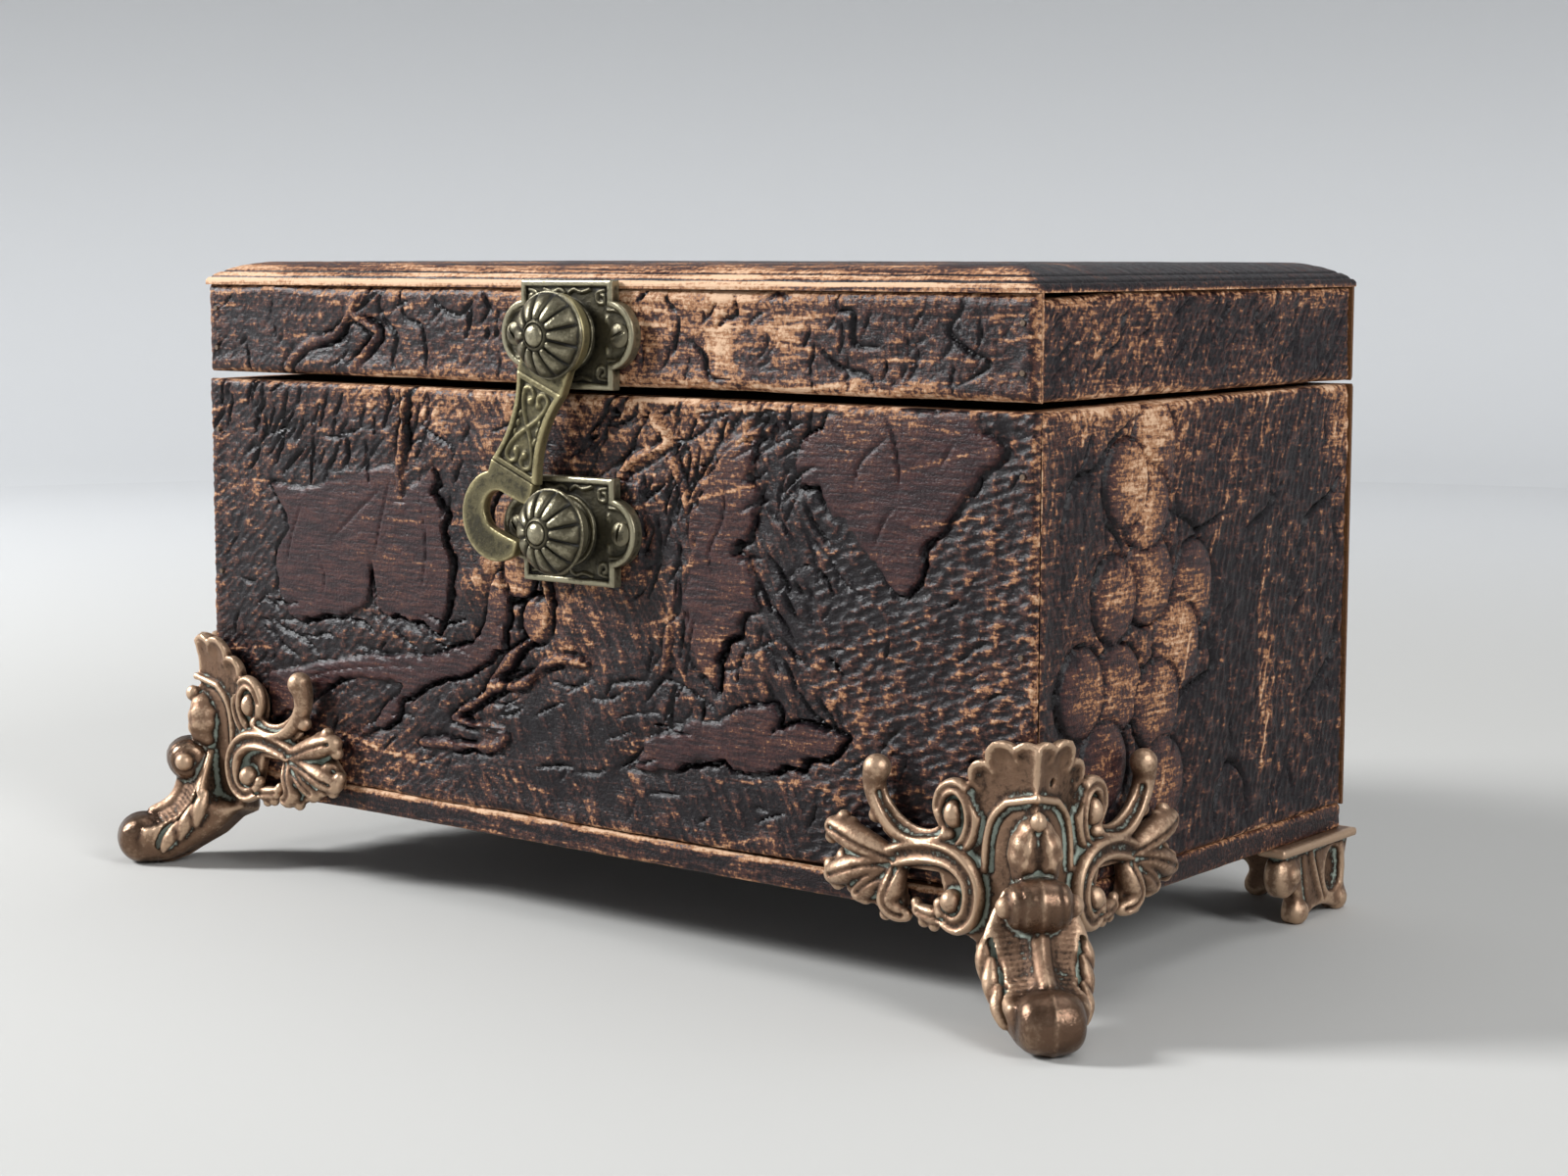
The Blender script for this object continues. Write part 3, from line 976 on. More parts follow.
def plateDistance(x, y, z):
    wing = [(-7, 37.0), (2.0, 37.0), (7.5, 34.6), (11, 31.2), (13.2, 28.5), (12.2, 25.5), (13.5, 19),
            (17.5, 14.5), (21, 12.5), (29, 13), (34, 11.5), (33, 7.8), (29.5, 10.2), (21.5, 10.4),
            (19.5, 4), (15.5, -1.5), (9, -4), (-7, -4)]
    foliage = [(30, 12.5), (37, 14.8), (43, 17.4), (47.5, 18.6), (49.4, 16.4), (46.8, 12.6), (49.8, 9),
               (49.8, 5.6), (45.6, 3.8), (42.4, 2.4), (38.6, 1.4), (35.4, -0.2), (31.6, -0.2), (30.2, 2.4),
               (31.4, 6.5)]
    u, w = -x, z - footSize["height"]
    d = np.minimum(outlineDistance(u, w, wing), outlineDistance(u, w, foliage))
    for u0, w0, r in crest:
        d = np.minimum(d, np.hypot(u - u0, w - w0) - r)
    rise = np.clip((w + 0.35 * u - footSize["flareFrom"]) / footSize["flareRun"], 0, 1.1)
    flare = footSize["flare"] * rise ** 2
    rim = footSize["rim"] * np.exp(-((d + 0.8) / 0.75) ** 2) * smoothStep(27, 30, w) * smoothStep(-2, 1, u)
    half = footSize["plate"] / 2 - 0.5 * np.clip(rise, 0, 1) + rim
    d = np.maximum(d, -u - flare - footSize["plate"])
    return np.maximum(d, np.abs(-y - footSize["plate"] / 2 - flare) - half)


volute = [(17.5, 14.8, 2.2, 1.5), (14.2, 18, 2.6, 1.6), (12.6, 22.5, 2.9, 1.7), (13.6, 27, 3.0, 1.7),
          (16.6, 29.2, 3.1, 1.6), (19.8, 27.8, 3.1, 1.5), (21.2, 24.3, 2.9, 1.3), (20.2, 21, 2.6, 1.1)]
horn = [(19.5, 18.8, 2.4, 2.2), (23, 17, 2.5, 2.4), (27.2, 16.9, 2.6, 2.5), (31, 18.2, 2.7, 2.5),
        (34.5, 20.9, 2.8, 2.4), (37, 24.5, 2.9, 2.4), (37.7, 28, 3.2, 2.5), (36.8, 30.8, 3.5, 3.0)]
trough = [(21, 19.4, 4.0, 1.1), (27, 18.9, 4.3, 1.5), (30.5, 20.1, 4.4, 1.5), (33.3, 22.6, 4.5, 1.4),
          (35.3, 25.6, 4.4, 1.1)]
underLine = [(18.5, 16.4, 2.2, 0.9), (23, 14.8, 2.4, 1.0), (28, 14.6, 2.4, 1.0), (32, 15.8, 2.3, 0.9),
             (35.4, 17.8, 2.1, 0.8)]
scroll = [(37, 9.2, 2.2, 1.6), (33, 12.2, 2.6, 2.2), (28, 14.0, 3.0, 2.4), (22.5, 14.9, 3.3, 2.4),
          (17, 14.2, 3.5, 2.3), (13, 11.4, 3.7, 2.2), (11.6, 7.4, 3.8, 2.1), (12.6, 2.8, 3.8, 2.0),
          (15.8, 0.3, 3.7, 1.8), (19.2, 1.2, 3.5, 1.5), (20.6, 4.0, 3.2, 1.2)]
leaves = [[(32, 11.8, 2.4, 1.9), (38, 13.6, 3.2, 2.8), (43, 15.4, 3.6, 3.1), (46.8, 16.6, 3.4, 2.7),
           (48.4, 16.8, 3.0, 2.2)],
          [(33, 10.5, 2.4, 1.8), (39, 9.8, 3.2, 2.8), (45, 7.8, 3.5, 3.0), (48.6, 6.4, 3.0, 2.2)],
          [(33, 9.0, 2.4, 1.7), (37.8, 6.2, 3.2, 2.6), (41.4, 3.4, 3.1, 2.1)],
          [(31.5, 10, 2.4, 1.8), (32.5, 6.5, 3.2, 2.6), (33.7, 3, 3.4, 2.6), (32, 0.8, 3.2, 2.2),
           (29.7, 0.2, 2.8, 1.5)],
          [(19.5, 0.9, 2.4, 1.5), (23, 1.2, 2.7, 1.9), (26.5, 1.7, 2.5, 1.5)]]
lobes = [(46.0, 19.0, 2.8, 1.6), (49.2, 14.4, 2.6, 1.6), (43.6, 18.0, 2.9, 1.4), (46.2, 10.6, 2.8, 1.5),
         (49.8, 8.2, 2.5, 1.5), (47.6, 4.4, 2.7, 1.5), (43.6, 4.2, 2.7, 1.4), (40.2, 2.2, 2.7, 1.4),
         (35.0, -0.4, 2.6, 1.4), (25.2, -0.6, 2.4, 1.3), (22.6, -1.2, 2.4, 1.2), (27.4, 3.2, 2.3, 1.2),
         (37.4, 20.6, 2.6, 1.8)]
crest = [(-0.5, 36.8, 3.4), (5.0, 35.8, 4.3), (10.2, 31.8, 3.7), (13.0, 28.6, 2.3)]
nailHole = ((2.2, 3.2, 50.8), (1.8, 0.85, 0.95))
voluteDisc = ((-17, -0.8, 42.5), (5.2, 1.4, 6.4))
voluteEye = ((-17.3, -2.6, 42.9), (2.3, 2.9, 3.1))
scrollEye = ((-17.2, -3.6, 24.6), (2.6, 2.8, 2.6))
podBead = (diagonal(5.6, 0, 44.0), (1.7, 1.7, 1.9))
rollEnds = [(diagonal(7.6, 6.7 * way, 27.2), (2.4, 2.4, 2.4)) for way in (-1, 1)]
legRib = [(8.0, 22.4), (9.4, 18.0), (12, 14.8), (16, 12.6)]
sprigs = [[(2.2, 9.9, 19.5, 0.9), (3.4, 10.4, 16.0, 1.9), (4.6, 10.2, 12.6, 1.5), (4.8, 9.6, 10.6, 0.6)],
          [(5.4, 9.3, 15.8, 0.9), (7.0, 9.7, 12.2, 1.9), (8.6, 9.4, 9.0, 1.4), (8.9, 8.9, 7.2, 0.6)],
          [(9.4, 8.6, 11.4, 0.8), (11.2, 9.0, 8.2, 1.7), (12.9, 8.5, 5.5, 1.2), (13.4, 8.0, 4.0, 0.5)]]


def frontFootClay():
    count = round(footSize["span"] / footSize["step"])
    right = count * footSize["step"] - footSize["reach"]
    spans = (footSize["span"], footSize["span"], footSize["tall"])
    clay = newClay((-footSize["reach"], -right, -2), spans, footSize["step"])
    mould(clay, (-52, -9, 10), (8, 0, 64), plateDistance, 0.5)
    addTube(clay, wingPath(underLine), 0.5)
    addBall(clay, *voluteDisc, 0.5)
    addTube(clay, wingPath([(u, w, p, 1.15 * r) for u, w, p, r in volute]), 0.4)
    addTube(clay, wingPath([(u, w, p + 1.15 * r, 0.5 * r) for u, w, p, r in volute[:-1]]), 0.3, dig=True)
    addBall(clay, *voluteEye, 0.3)
    addTube(clay, wingPath(horn), 0.5)
    addTube(clay, wingPath(trough), 0.4, dig=True)
    addTube(clay, wingPath([(u, w, p, 1.2 * r) for u, w, p, r in scroll]), 0.4)
    addTube(clay, wingPath([(u, w, p + 1.35 * r, 0.75 * r) for u, w, p, r in scroll[1:-1]]), 0.3, dig=True)
    addBall(clay, *scrollEye, 0.25)
    for leaf in leaves:
        addTube(clay, wingPath(leaf), 0.5)
        addTube(clay, wingPath([(u, w, p + r, 0.55) for u, w, p, r in leaf]), 0.4, dig=True)
    for u, w, p, r in lobes:
        addBall(clay, (-u, -p, footSize["height"] + w), (r, r, r), 0.7)
    for u, w, r in crest[1:]:
        p = footSize["plate"] + 1.9 * ((w + 0.35 * u - footSize["flareFrom"]) / footSize["flareRun"]) ** 2
        addTube(clay, wingPath([(u, w, p + 1.0, 0.34 * r), (u * 0.84, w - 1.9 * r, p + 0.4, 0.24 * r)]),
                0.8, dig=True)
    for inset, r, dig in ((0.0, 0.85, False), (1.4, 0.6, True)):
        arch = wingPath([(9.8 - inset, 12.6, 2.6, r), (9.4 - inset, 19, 2.7, r),
                         (7.8 - inset, 23.8 - 0.3 * inset, 2.8, r),
                         (4.4 - 0.5 * inset, 27.2 - inset, 2.9, r)])
        addTube(clay, np.vstack((arch, [diagonal(4.5, 0, 48.4 - inset, r)])), 0.7, dig)
    clay["field"] = np.minimum(clay["field"], clay["field"].transpose(1, 0, 2)[::-1, ::-1])
    addBall(clay, *nailHole, 0.15, dig=True)
    mould(clay, (-8, -10, 30), (10, 8, 45), podDistance, 0.4)
    addBall(clay, *podBead, 0.4)
    mould(clay, (-24, -24, 0), (22, 22, 32), legDistance, 1.0)
    for way in (-1, 1):
        for sprig in sprigs:
            beside = [diagonal(out + 1.5, way * (side - 0.9), z + 0.9, 0.8 * r)
                      for out, side, z, r in sprig]
            addTube(clay, curve(beside), 0.5, dig=True)
            addTube(clay, curve([diagonal(out, way * side, z, r) for out, side, z, r in sprig]), 0.3)
    addTube(clay, curve([diagonal(out, 0, z, 2.0) for out, z in legRib]), 0.4)
    mould(clay, (-6, -16, 20), (16, 6, 34), rollDistance, 0.4)
    mould(clay, (4, -24, 0), (24, -4, 15), toeDistance, 0.5)
    for bead in rollEnds:
        addBall(clay, *bead, 0.25)
    x, y, z = onGrid(clay["axes"])
    out, side = diagonalOf(x, y)
    seam = np.float32(footSize["seam"]) * np.exp(-(side / footSize["seamHalf"]) ** 2)
    clay["field"] -= seam * smoothStep(2, 4, out)
    wood = np.maximum(np.maximum(x, -y), footSize["height"] - z)
    clay["field"] = np.maximum(np.maximum(clay["field"], -wood), -z)
    return clay


# Places where hands have rubbed the toe and the roll.
def footPolish(x, y, z):
    out, side = diagonalOf(x, y)
    side = np.abs(side)
    toe = smoothStep(13.0, 15.5, out) * smoothStep(15, 13, z) * smoothStep(8.5, 6.5, side)
    roll = smoothStep(6.6, 5.4, np.hypot(out - 7.0, z - 27.4)) * smoothStep(6.8, 5.8, side)
    return np.maximum(toe, roll)


# The same casting on the right and, mirrored, on the left.
def settleFeet(end, clay, corner, polish=None):
    for side, mirrored in (("right", False), ("left", True)):
        name = end + "_" + side + "_foot"
        place = corner * (-1, 1, 1) if mirrored else corner
        piece = castPiece(name + "_casting", clay, place, castBronze, mirrored, polish=polish)
        settle(piece, "case", "cast_bronze", name)


settleFeet("front", frontFootClay(), np.array((frontHigh[0], frontLow[1], 0)), footPolish)
print("front feet cast")


# Rear feet: an L of two scrolled brackets with a fluted stem and a hollow panel, under a flat ledge.
rearSize = {"step": 0.4, "reach": 34.0, "over": 2.4, "ledge": 2.0, "thick": 4.4,
            "face": 0.96, "grid": ((-36, -36, -1.6), (41, 41, 23))}


def bracketDistance(x, y, z):
    outline = curve([(-1, 17.8), (14, 17.8), (29, 17.8), (32.8, 16.2), (34, 12.5), (32.6, 9), (29.4, 7.3),
                     (26, 8.4), (24.2, 6.4), (25.4, 3.4), (25, 0.9), (22.2, -0.3), (19.6, 0.8), (16, 2.4),
                     (11, 2.6), (6, 1.4), (3.4, -0.2), (0.2, -0.1), (-1, 1.9), (0.2, 5.5), (0.9, 9.5),
                     (0.2, 14)], 4).tolist()
    d = outlineDistance(-y, z, outline)
    half = rearSize["thick"] / 2
    return -blend(-d + 0 * x, half - np.abs(x - rearSize["face"] + half), 1.4)


def ledgeDistance(x, y, z):
    reach, over, thick = rearSize["reach"], rearSize["over"], rearSize["thick"]
    outline = [(over, over), (-reach, over), (-reach, -thick), (-thick, -reach), (over, -reach)]
    d = outlineDistance(x, y, outline)
    half = rearSize["ledge"] / 2
    return -blend(-d + 0 * z, half - np.abs(z - footSize["height"] + half), 0.7)


def rearFootClay():
    clay = newClay(*rearSize["grid"], rearSize["step"])
    face = rearSize["face"]
    mould(clay, (-4, -35, -1), (2, 2, 19), bracketDistance, 0.4)
    addBall(clay, (face - 0.6, -6.6, 10.6), (1.3, 4.2, 5.6), 0.6, dig=True)
    for spots, dig in (([(-18.8, 17, 1.1), (-16.2, 11, 1.2), (-12.6, 4.4, 1.0)], False),
                       ([(-22.6, 15.6, 0.7), (-21.6, 10, 0.8), (-20.4, 4.6, 0.6)], True),
                       ([(-16.6, 16.4, 0.6), (-14.2, 10.6, 0.7), (-10.8, 4.2, 0.5)], True),
                       ([(-3.0, 16.4, 0.8), (-2.2, 10.5, 0.9), (-3.0, 4.2, 0.8)], False)):
        addTube(clay, curve([(face - (0.0 if dig else 0.5), y, z, r) for y, z, r in spots]), 0.5, dig)
    addBall(clay, (face - 0.4, -29, 12.6), (2.0, 4.6, 4.6), 0.5)
    addBall(clay, (face + 1.0, -28.6, 12.8), (1.5, 2.3, 2.3), 0.3)
    addBall(clay, (face - 1.2, -22.3, 2.9), (2.6, 3.1, 3.0), 0.6)
    addBall(clay, (face - 1.2, -2.6, 2.8), (2.4, 2.9, 2.8), 0.6)
    clay["field"] = np.minimum(clay["field"], clay["field"].transpose(1, 0, 2))
    mould(clay, (-35, -35, 17), (3, 3, 20), ledgeDistance, 0.3)
    z = onGrid(clay["axes"])[2]
    clay["field"] = np.maximum(np.maximum(clay["field"], z - footSize["height"]), -z)
    return clay


settleFeet("rear", rearFootClay(), np.array((frontHigh[0], backFace, 0)))
print("rear feet cast")


# Repeats a source mesh on placed points, each turned by its own angles and by a random spin where a screw was
# driven home.
def repeatOnPoints(name, source, spots, aims, material, size=1.0, spin=0.0, seed=1):
    tree = bpy.data.node_groups.new(name + "_tree", "GeometryNodeTree")
    sockets = {}
    for label, kind, way in (("Geometry", "NodeSocketGeometry", "INPUT"),
                             ("Source", "NodeSocketObject", "INPUT"), ("Size", "NodeSocketFloat", "INPUT"),
                             ("Spin", "NodeSocketFloat", "INPUT"), ("Seed", "NodeSocketInt", "INPUT"),
                             ("Material", "NodeSocketMaterial", "INPUT"),
                             ("Result", "NodeSocketGeometry", "OUTPUT")):
        sockets[label] = tree.interface.new_socket(label, in_out=way, socket_type=kind).identifier
    given = addNode(tree, "NodeGroupInput").outputs
    aim = addNode(tree, "GeometryNodeInputNamedAttribute", {"Name": "aim"},
                  data_type="FLOAT_VECTOR").outputs[0]
    back = addNode(tree, "ShaderNodeMath", {0: given["Spin"], 1: -1.0}, operation="MULTIPLY").outputs[0]
    chance = addNode(tree, "FunctionNodeRandomValue", {2: back, 3: given["Spin"], "Seed": given["Seed"]},
                     data_type="FLOAT").outputs[1]
    turned = addNode(tree, "ShaderNodeCombineXYZ", {"Z": chance}).outputs[0]
    facing = addNode(tree, "FunctionNodeEulerToRotation", {0: aim}).outputs[0]
    driven = addNode(tree, "FunctionNodeEulerToRotation", {0: turned}).outputs[0]
    facing = addNode(tree, "FunctionNodeRotateRotation", {0: facing, 1: driven},
                     rotation_space="LOCAL").outputs[0]
    form = addNode(tree, "GeometryNodeObjectInfo", {"Object": given["Source"]}).outputs["Geometry"]
    dots = addNode(tree, "GeometryNodeMeshToPoints", {"Mesh": given["Geometry"]}).outputs[0]
    many = addNode(tree, "GeometryNodeInstanceOnPoints",
                   {"Points": dots, "Instance": form, "Rotation": facing,
                    "Scale": given["Size"]}).outputs[0]
    solid = addNode(tree, "GeometryNodeRealizeInstances", {0: many}).outputs[0]
    dressed = addNode(tree, "GeometryNodeSetMaterial",
                      {"Geometry": solid, "Material": given["Material"]}).outputs[0]
    addNode(tree, "NodeGroupOutput", {"Result": dressed})
    holder = newPiece(name + "_spots", spots, [], [])
    turns = holder.data.attributes.new("aim", "FLOAT_VECTOR", "POINT").data
    turns.foreach_set("vector", np.float32(aims).ravel())
    modifier = holder.modifiers.new("repeat", "NODES")
    modifier.node_group = tree
    for label, value in (("Source", source), ("Size", size), ("Spin", spin), ("Seed", seed),
                         ("Material", material)):
        modifier[sockets[label]] = value
    graph = bpy.context.evaluated_depsgraph_get()
    mesh = bpy.data.meshes.new_from_object(holder.evaluated_get(graph))
    mesh.name = name
    bpy.data.objects.remove(holder)
    piece = bpy.data.objects.new(name, mesh)
    scene.collection.objects.link(piece)
    return piece


def lathe(name, profile, material, centre, segments=72):
    profile = np.array(profile, float)
    angles = np.linspace(0, 2 * math.pi, segments, endpoint=False)
    rings = len(profile)
    r, p = profile[:, 0][None, :], profile[:, 1][None, :]
    c, s = np.cos(angles)[:, None], np.sin(angles)[:, None]
    points = np.stack((r * c, -p + 0 * c, r * s), -1).reshape(-1, 3) + centre
    index = np.arange(segments * rings).reshape(segments, rings)
    faces = ringFaces(index, flip=True) + [index[:, 0].tolist(), index[::-1, -1].tolist()]
    return newPiece(name, points, faces, [material], {"hollow": np.tile(profile[:, 2], segments)}, sharp=35)


# Latch: stamped plates with a sunk scroll field, gadrooned knobs and a waisted hook with crossed scrolls.
latchSize = {"step": 0.25, "plateHalf": 14.0, "plateTall": 12.3, "lobeCentre": 12.57,
             "lobe": 7.83, "thick": 3.0, "rim": 1.5, "recess": 0.8, "boss": 8.2, "screwReach": 16.0,
             "grid": ((-22, -4.5, -14), (44, 6, 28))}
faceY = frontLow[1]


def plateEdge(x, z):
    plain = np.maximum(np.abs(x) - latchSize["plateHalf"], np.abs(z) - latchSize["plateTall"])
    return np.minimum(plain, np.hypot(np.abs(x) - latchSize["lobeCentre"], z) - latchSize["lobe"])


def plateBody(x, y, z):
    half = latchSize["thick"] / 2
    return -blend(-plateEdge(x, z) + 0 * y, half - np.abs(y + half), 0.5)


def plateField(x, y, z):
    return np.maximum(plateEdge(x, z) + latchSize["rim"], y + latchSize["thick"] - latchSize["recess"])


def plateBoss(x, y, z):
    r = np.hypot(x, z)
    ring = 0.35 * np.exp(-((r - latchSize["boss"] + 1.1) / 0.35) ** 2)
    return np.maximum(r - latchSize["boss"], np.abs(y + 1.5) - 1.5 + ring)


def plateClay():
    clay = newClay(*latchSize["grid"], latchSize["step"])
    mould(clay, (-21, -3, -13), (21, 0, 13), plateBody, 0.2)
    mould(clay, (-21, -3, -13), (21, 0, 13), plateField, 0.25, dig=True)
    mould(clay, (-9, -3, -9), (9, 0, 9), plateBoss, 0.2)
    floor = -latchSize["thick"] + latchSize["recess"] + 0.05
    scrollLine = [(11.6, 10.0), (9.3, 9.4), (9.4, 7.4), (11.2, 7.2), (11.5, 8.6), (10.5, 8.9)]
    leafLine = [(7.0, 10.2), (4.4, 9.6), (2.2, 10.2), (0.6, 9.4)]
    lobeLine = [(12.4, 5.6), (15.2, 5.4), (17.6, 4.0), (18.5, 1.4)]
    for sx, sz in ((-1, -1), (-1, 1), (1, -1), (1, 1)):
        for line, r in ((scrollLine, 0.5), (leafLine, 0.5), (lobeLine, 0.42)):
            addTube(clay, curve([(sx * x, floor, sz * z, r) for x, z in line]), 0.2)
        addBall(clay, (sx * 12.2, floor, sz * 3.4), (0.8, 0.5, 1.1), 0.2)
    return clay


plateShape = plateClay()
knobSize = {"petals": 12, "rise": 5.2, "radius": 10.0, "base": 1.1, "rows": 14, "columns": 9, "inner": 3.35,
            "run": 6.2, "fill": 0.97, "seat": 1.15, "arch": 1.3, "back": 2.2, "lowest": 0.3}
petalAngle = 2 * math.pi / knobSize["petals"]
domeBend = (knobSize["radius"] ** 2 + knobSize["rise"] ** 2) / (2 * knobSize["rise"])


def domeHeight(r):
    return math.sqrt(domeBend ** 2 - r ** 2) - domeBend + knobSize["rise"] + knobSize["base"]


def petalPiece():
    points, faces, hollow = [], [], []
    rows, columns = knobSize["rows"], knobSize["columns"]
    for i in range(rows + 1):
        s = i / rows
        r = knobSize["inner"] + knobSize["run"] * s
        full = max(1 - abs(2 * s - 1) ** 5, 0.0) ** 0.5
        half = r * math.tan(petalAngle / 2) * knobSize["fill"]
        for j in range(columns):
            t = -1 + 2 * j / (columns - 1)
            arch = math.sqrt(max(1 - t * t, 0))
            raised = knobSize["arch"] * arch * (0.25 + 0.75 * full)
            points.append((r, half * t, domeHeight(r) - knobSize["seat"] + raised))
            hollow.append(0.9 - 0.75 * arch * full)
        points.append((r, 0, max(domeHeight(r) - knobSize["back"], knobSize["lowest"])))
        hollow.append(1.0)
    width = columns + 1
    for i in range(rows):
        for j in range(width):
            a, b = i * width + j, i * width + (j + 1) % width
            faces.append([a, a + width, b + width, b])
    faces.append(list(range(width)))
    faces.append([rows * width + j for j in range(width)][::-1])
    return newPiece("petal_source", points, faces, [latchBrass], {"hollow": hollow}, sharp=50)


petal = petalPiece()
domeProfile = [(1.8, 0.0, 0.6), (9.3, 0.0, 0.6), (9.85, 0.25, 0.3), (10.0, 0.6, 0.1), (9.85, 1.0, 0.2),
               (9.4, 1.2, 0.7), (9.0, domeHeight(9.0) - 0.9, 1.0)]
domeProfile += [(r, domeHeight(r) - 0.95, 1.0) for r in (8, 7, 6, 5, 4)]
domeProfile += [(3.3, domeHeight(3.3) - 0.25, 0.5), (3.0, domeHeight(3) - 0.15, 0.3),
                (2.75, domeHeight(2.7) - 0.6, 0.9)]
domeProfile += [(2.4 * math.cos(a), domeHeight(2.4) - 0.3 + 1.0 * math.sin(a), 0.15)
                for a in (0, 0.3, 0.6, 0.9, 1.2, 1.45)]
for level, body in (("lower", "case"), ("upper", "lid")):
    low, high = nodeBox(level + "_plate")
    centre = np.array(((low[0] + high[0]) / 2, faceY, (low[2] + high[2]) / 2))
    piece = castPiece(level + "_plate_stamped", plateShape, centre, latchBrass)
    settle(piece, body, "latch_brass", level + "_plate")
    knobBack = np.array((centre[0], nodeBox(level + "_knob")[1][1], centre[2]))
    settle(lathe(level + "_knob_dome", domeProfile, latchBrass, knobBack), body, "latch_brass",
           level + "_knob")
    turns = [(Matrix.Rotation(math.pi / 2, 3, "X") @ Matrix.Rotation(k * petalAngle, 3, "Z")).to_euler()
             for k in range(knobSize["petals"])]
    piece = repeatOnPoints(level + "_knob_petals", petal, [knobBack] * len(turns), turns, latchBrass)
    settle(piece, body, "latch_brass")
bpy.data.objects.remove(petal)
print("latch plates and knobs done")

hookSize = {"eye": 9.4, "shoulder": 11.7, "shoulderHalf": 7.5, "waist": 22.5, "waistHalf": 5.35,
            "foot": 34.0, "footHalf": 7.6, "border": 1.4, "recess": 0.75, "crescent": (-1.8, -46.0),
            "round": 10.6, "jaw": 6.9, "thick": 2.6, "bore": 4.3, "pitch": 44.4, "slot": 4.5, "rest": 22.0,
            "grid": ((-14, -4, -58), (26, 5.5, 69))}


def armHalf(z):
    away = z + hookSize["waist"]
    upper, lower = ((hookSize[end + "Half"] - hookSize["waistHalf"]) / (hookSize[end]
                                                                        - hookSize["waist"]) ** 2
                    for end in ("shoulder", "foot"))
    return hookSize["waistHalf"] + np.where(away > 0, upper, lower) * away ** 2


def hookEdge(x, z):
    eye = np.hypot(x, z) - hookSize["eye"]
    neck = np.maximum(np.abs(x) - hookSize["shoulderHalf"], np.maximum(z, -hookSize["shoulder"] - z))
    arm = np.maximum(np.abs(x) - armHalf(z), np.maximum(z + hookSize["shoulder"], -hookSize["foot"] - z))
    cx, cz = hookSize["crescent"]
    ring = np.maximum(np.hypot(x - cx, z - cz) - hookSize["round"], x - hookSize["jaw"])
    cheek = np.maximum(np.maximum(-hookSize["footHalf"] - x, x - hookSize["jaw"]),
                       np.maximum(z + hookSize["foot"], cz - z))
    solid = np.minimum(np.minimum(np.minimum(eye, neck), arm), np.minimum(ring, cheek))
    far = np.hypot(x, z)
    angle = np.arctan2(x, -z)
    end = math.asin(1.5 / hookSize["pitch"])
    band = np.where(angle > -end, np.abs(far - hookSize["pitch"]),
                    np.hypot(x + 1.5, z + hookSize["pitch"] * math.cos(end))) - hookSize["slot"]
    return np.maximum(np.maximum(solid, -np.where(z < -30, band, 9)), hookSize["bore"] - far)


def hookBody(x, y, z):
    half = hookSize["thick"] / 2
    return -blend(-hookEdge(x, z) + 0 * y, half - np.abs(y + half), 0.5)


def hookPanel(x, y, z):
    inset = hookSize["border"]
    inside = np.maximum(np.abs(x) - armHalf(z) + inset,
                        np.maximum(z + hookSize["shoulder"] + inset, -hookSize["foot"] + inset - z))
    return np.maximum(inside, y + hookSize["thick"] - hookSize["recess"])


def hookClay():
    clay = newClay(*hookSize["grid"], latchSize["step"])
    mould(clay, (-13, -3, -57), (11, 0, 10), hookBody, 0.2)
    mould(clay, (-9, -3, -34), (9, 0, -11), hookPanel, 0.2, dig=True)
    floor = -hookSize["thick"] + hookSize["recess"] + 0.1
    strand = [(0.30, -16.6), (0.16, -15.2), (0.45, -14.0), (0.88, -14.8), (0.95, -17.2), (0.62, -20.2),
              (0.0, -22.9), (-0.62, -25.6), (-0.95, -28.6), (-0.88, -31.2), (-0.45, -32.1), (-0.16, -30.9),
              (-0.30, -29.5)]
    for way in (-1, 1):
        addTube(clay, curve([(way * share * (armHalf(z) - 2.1), floor, z, 0.62) for share, z in strand]),
                0.15)
        for share, z in ((0.36, -16.9), (-0.36, -29.2)):
            addBall(clay, (way * share * (armHalf(z) - 2.1), floor, z), (1.0, 0.75, 1.0), 0.15)
        for z, tall in ((-20.6, 1.0), (-22.9, 1.1), (-25.2, 1.0)):
            addBall(clay, (way * (armHalf(z) - 2.2), floor, z), (0.6, 0.6, tall), 0.15)
    return clay


low, high = nodeBox("upper_post")
pivot = np.array(((low[0] + high[0]) / 2, nodeBox("hook_arm")[1][1], (low[2] + high[2]) / 2))
hook = castPiece("hook_arm_cast", hookClay(), (0, 0, 0), hookBrass)
resting = Matrix.Rotation(math.radians(hookSize["rest"]), 4, "Y")
hook.data.transform(Matrix.Translation(pivot * mm) @ resting)
settle(hook, "hook", "latch_brass", "hook_arm")


# Slotted screw heads of the plates, each stopped at its own angle.
screwSize = {"ball": 4.0, "sink": 2.9, "radius": 2.75, "foot": 0.6, "slotHalf": 0.35, "slotFloor": 0.35,
             "step": 0.15, "set": 0.6, "spin": 1.4, "seeds": {"case": 7, "lid": 12},
             "grid": ((-3.4, -3.4, -1.4), (6.75, 6.75, 3.0))}


def screwHead(x, y, z):
    r = np.hypot(x, y)
    ball = np.sqrt(x * x + y * y + (z + screwSize["sink"]) ** 2) - screwSize["ball"]
    dome = np.maximum(ball, np.maximum(r - screwSize["radius"], -z - screwSize["foot"]))
    return np.maximum(dome, -np.maximum(np.abs(x) - screwSize["slotHalf"], screwSize["slotFloor"] - z))


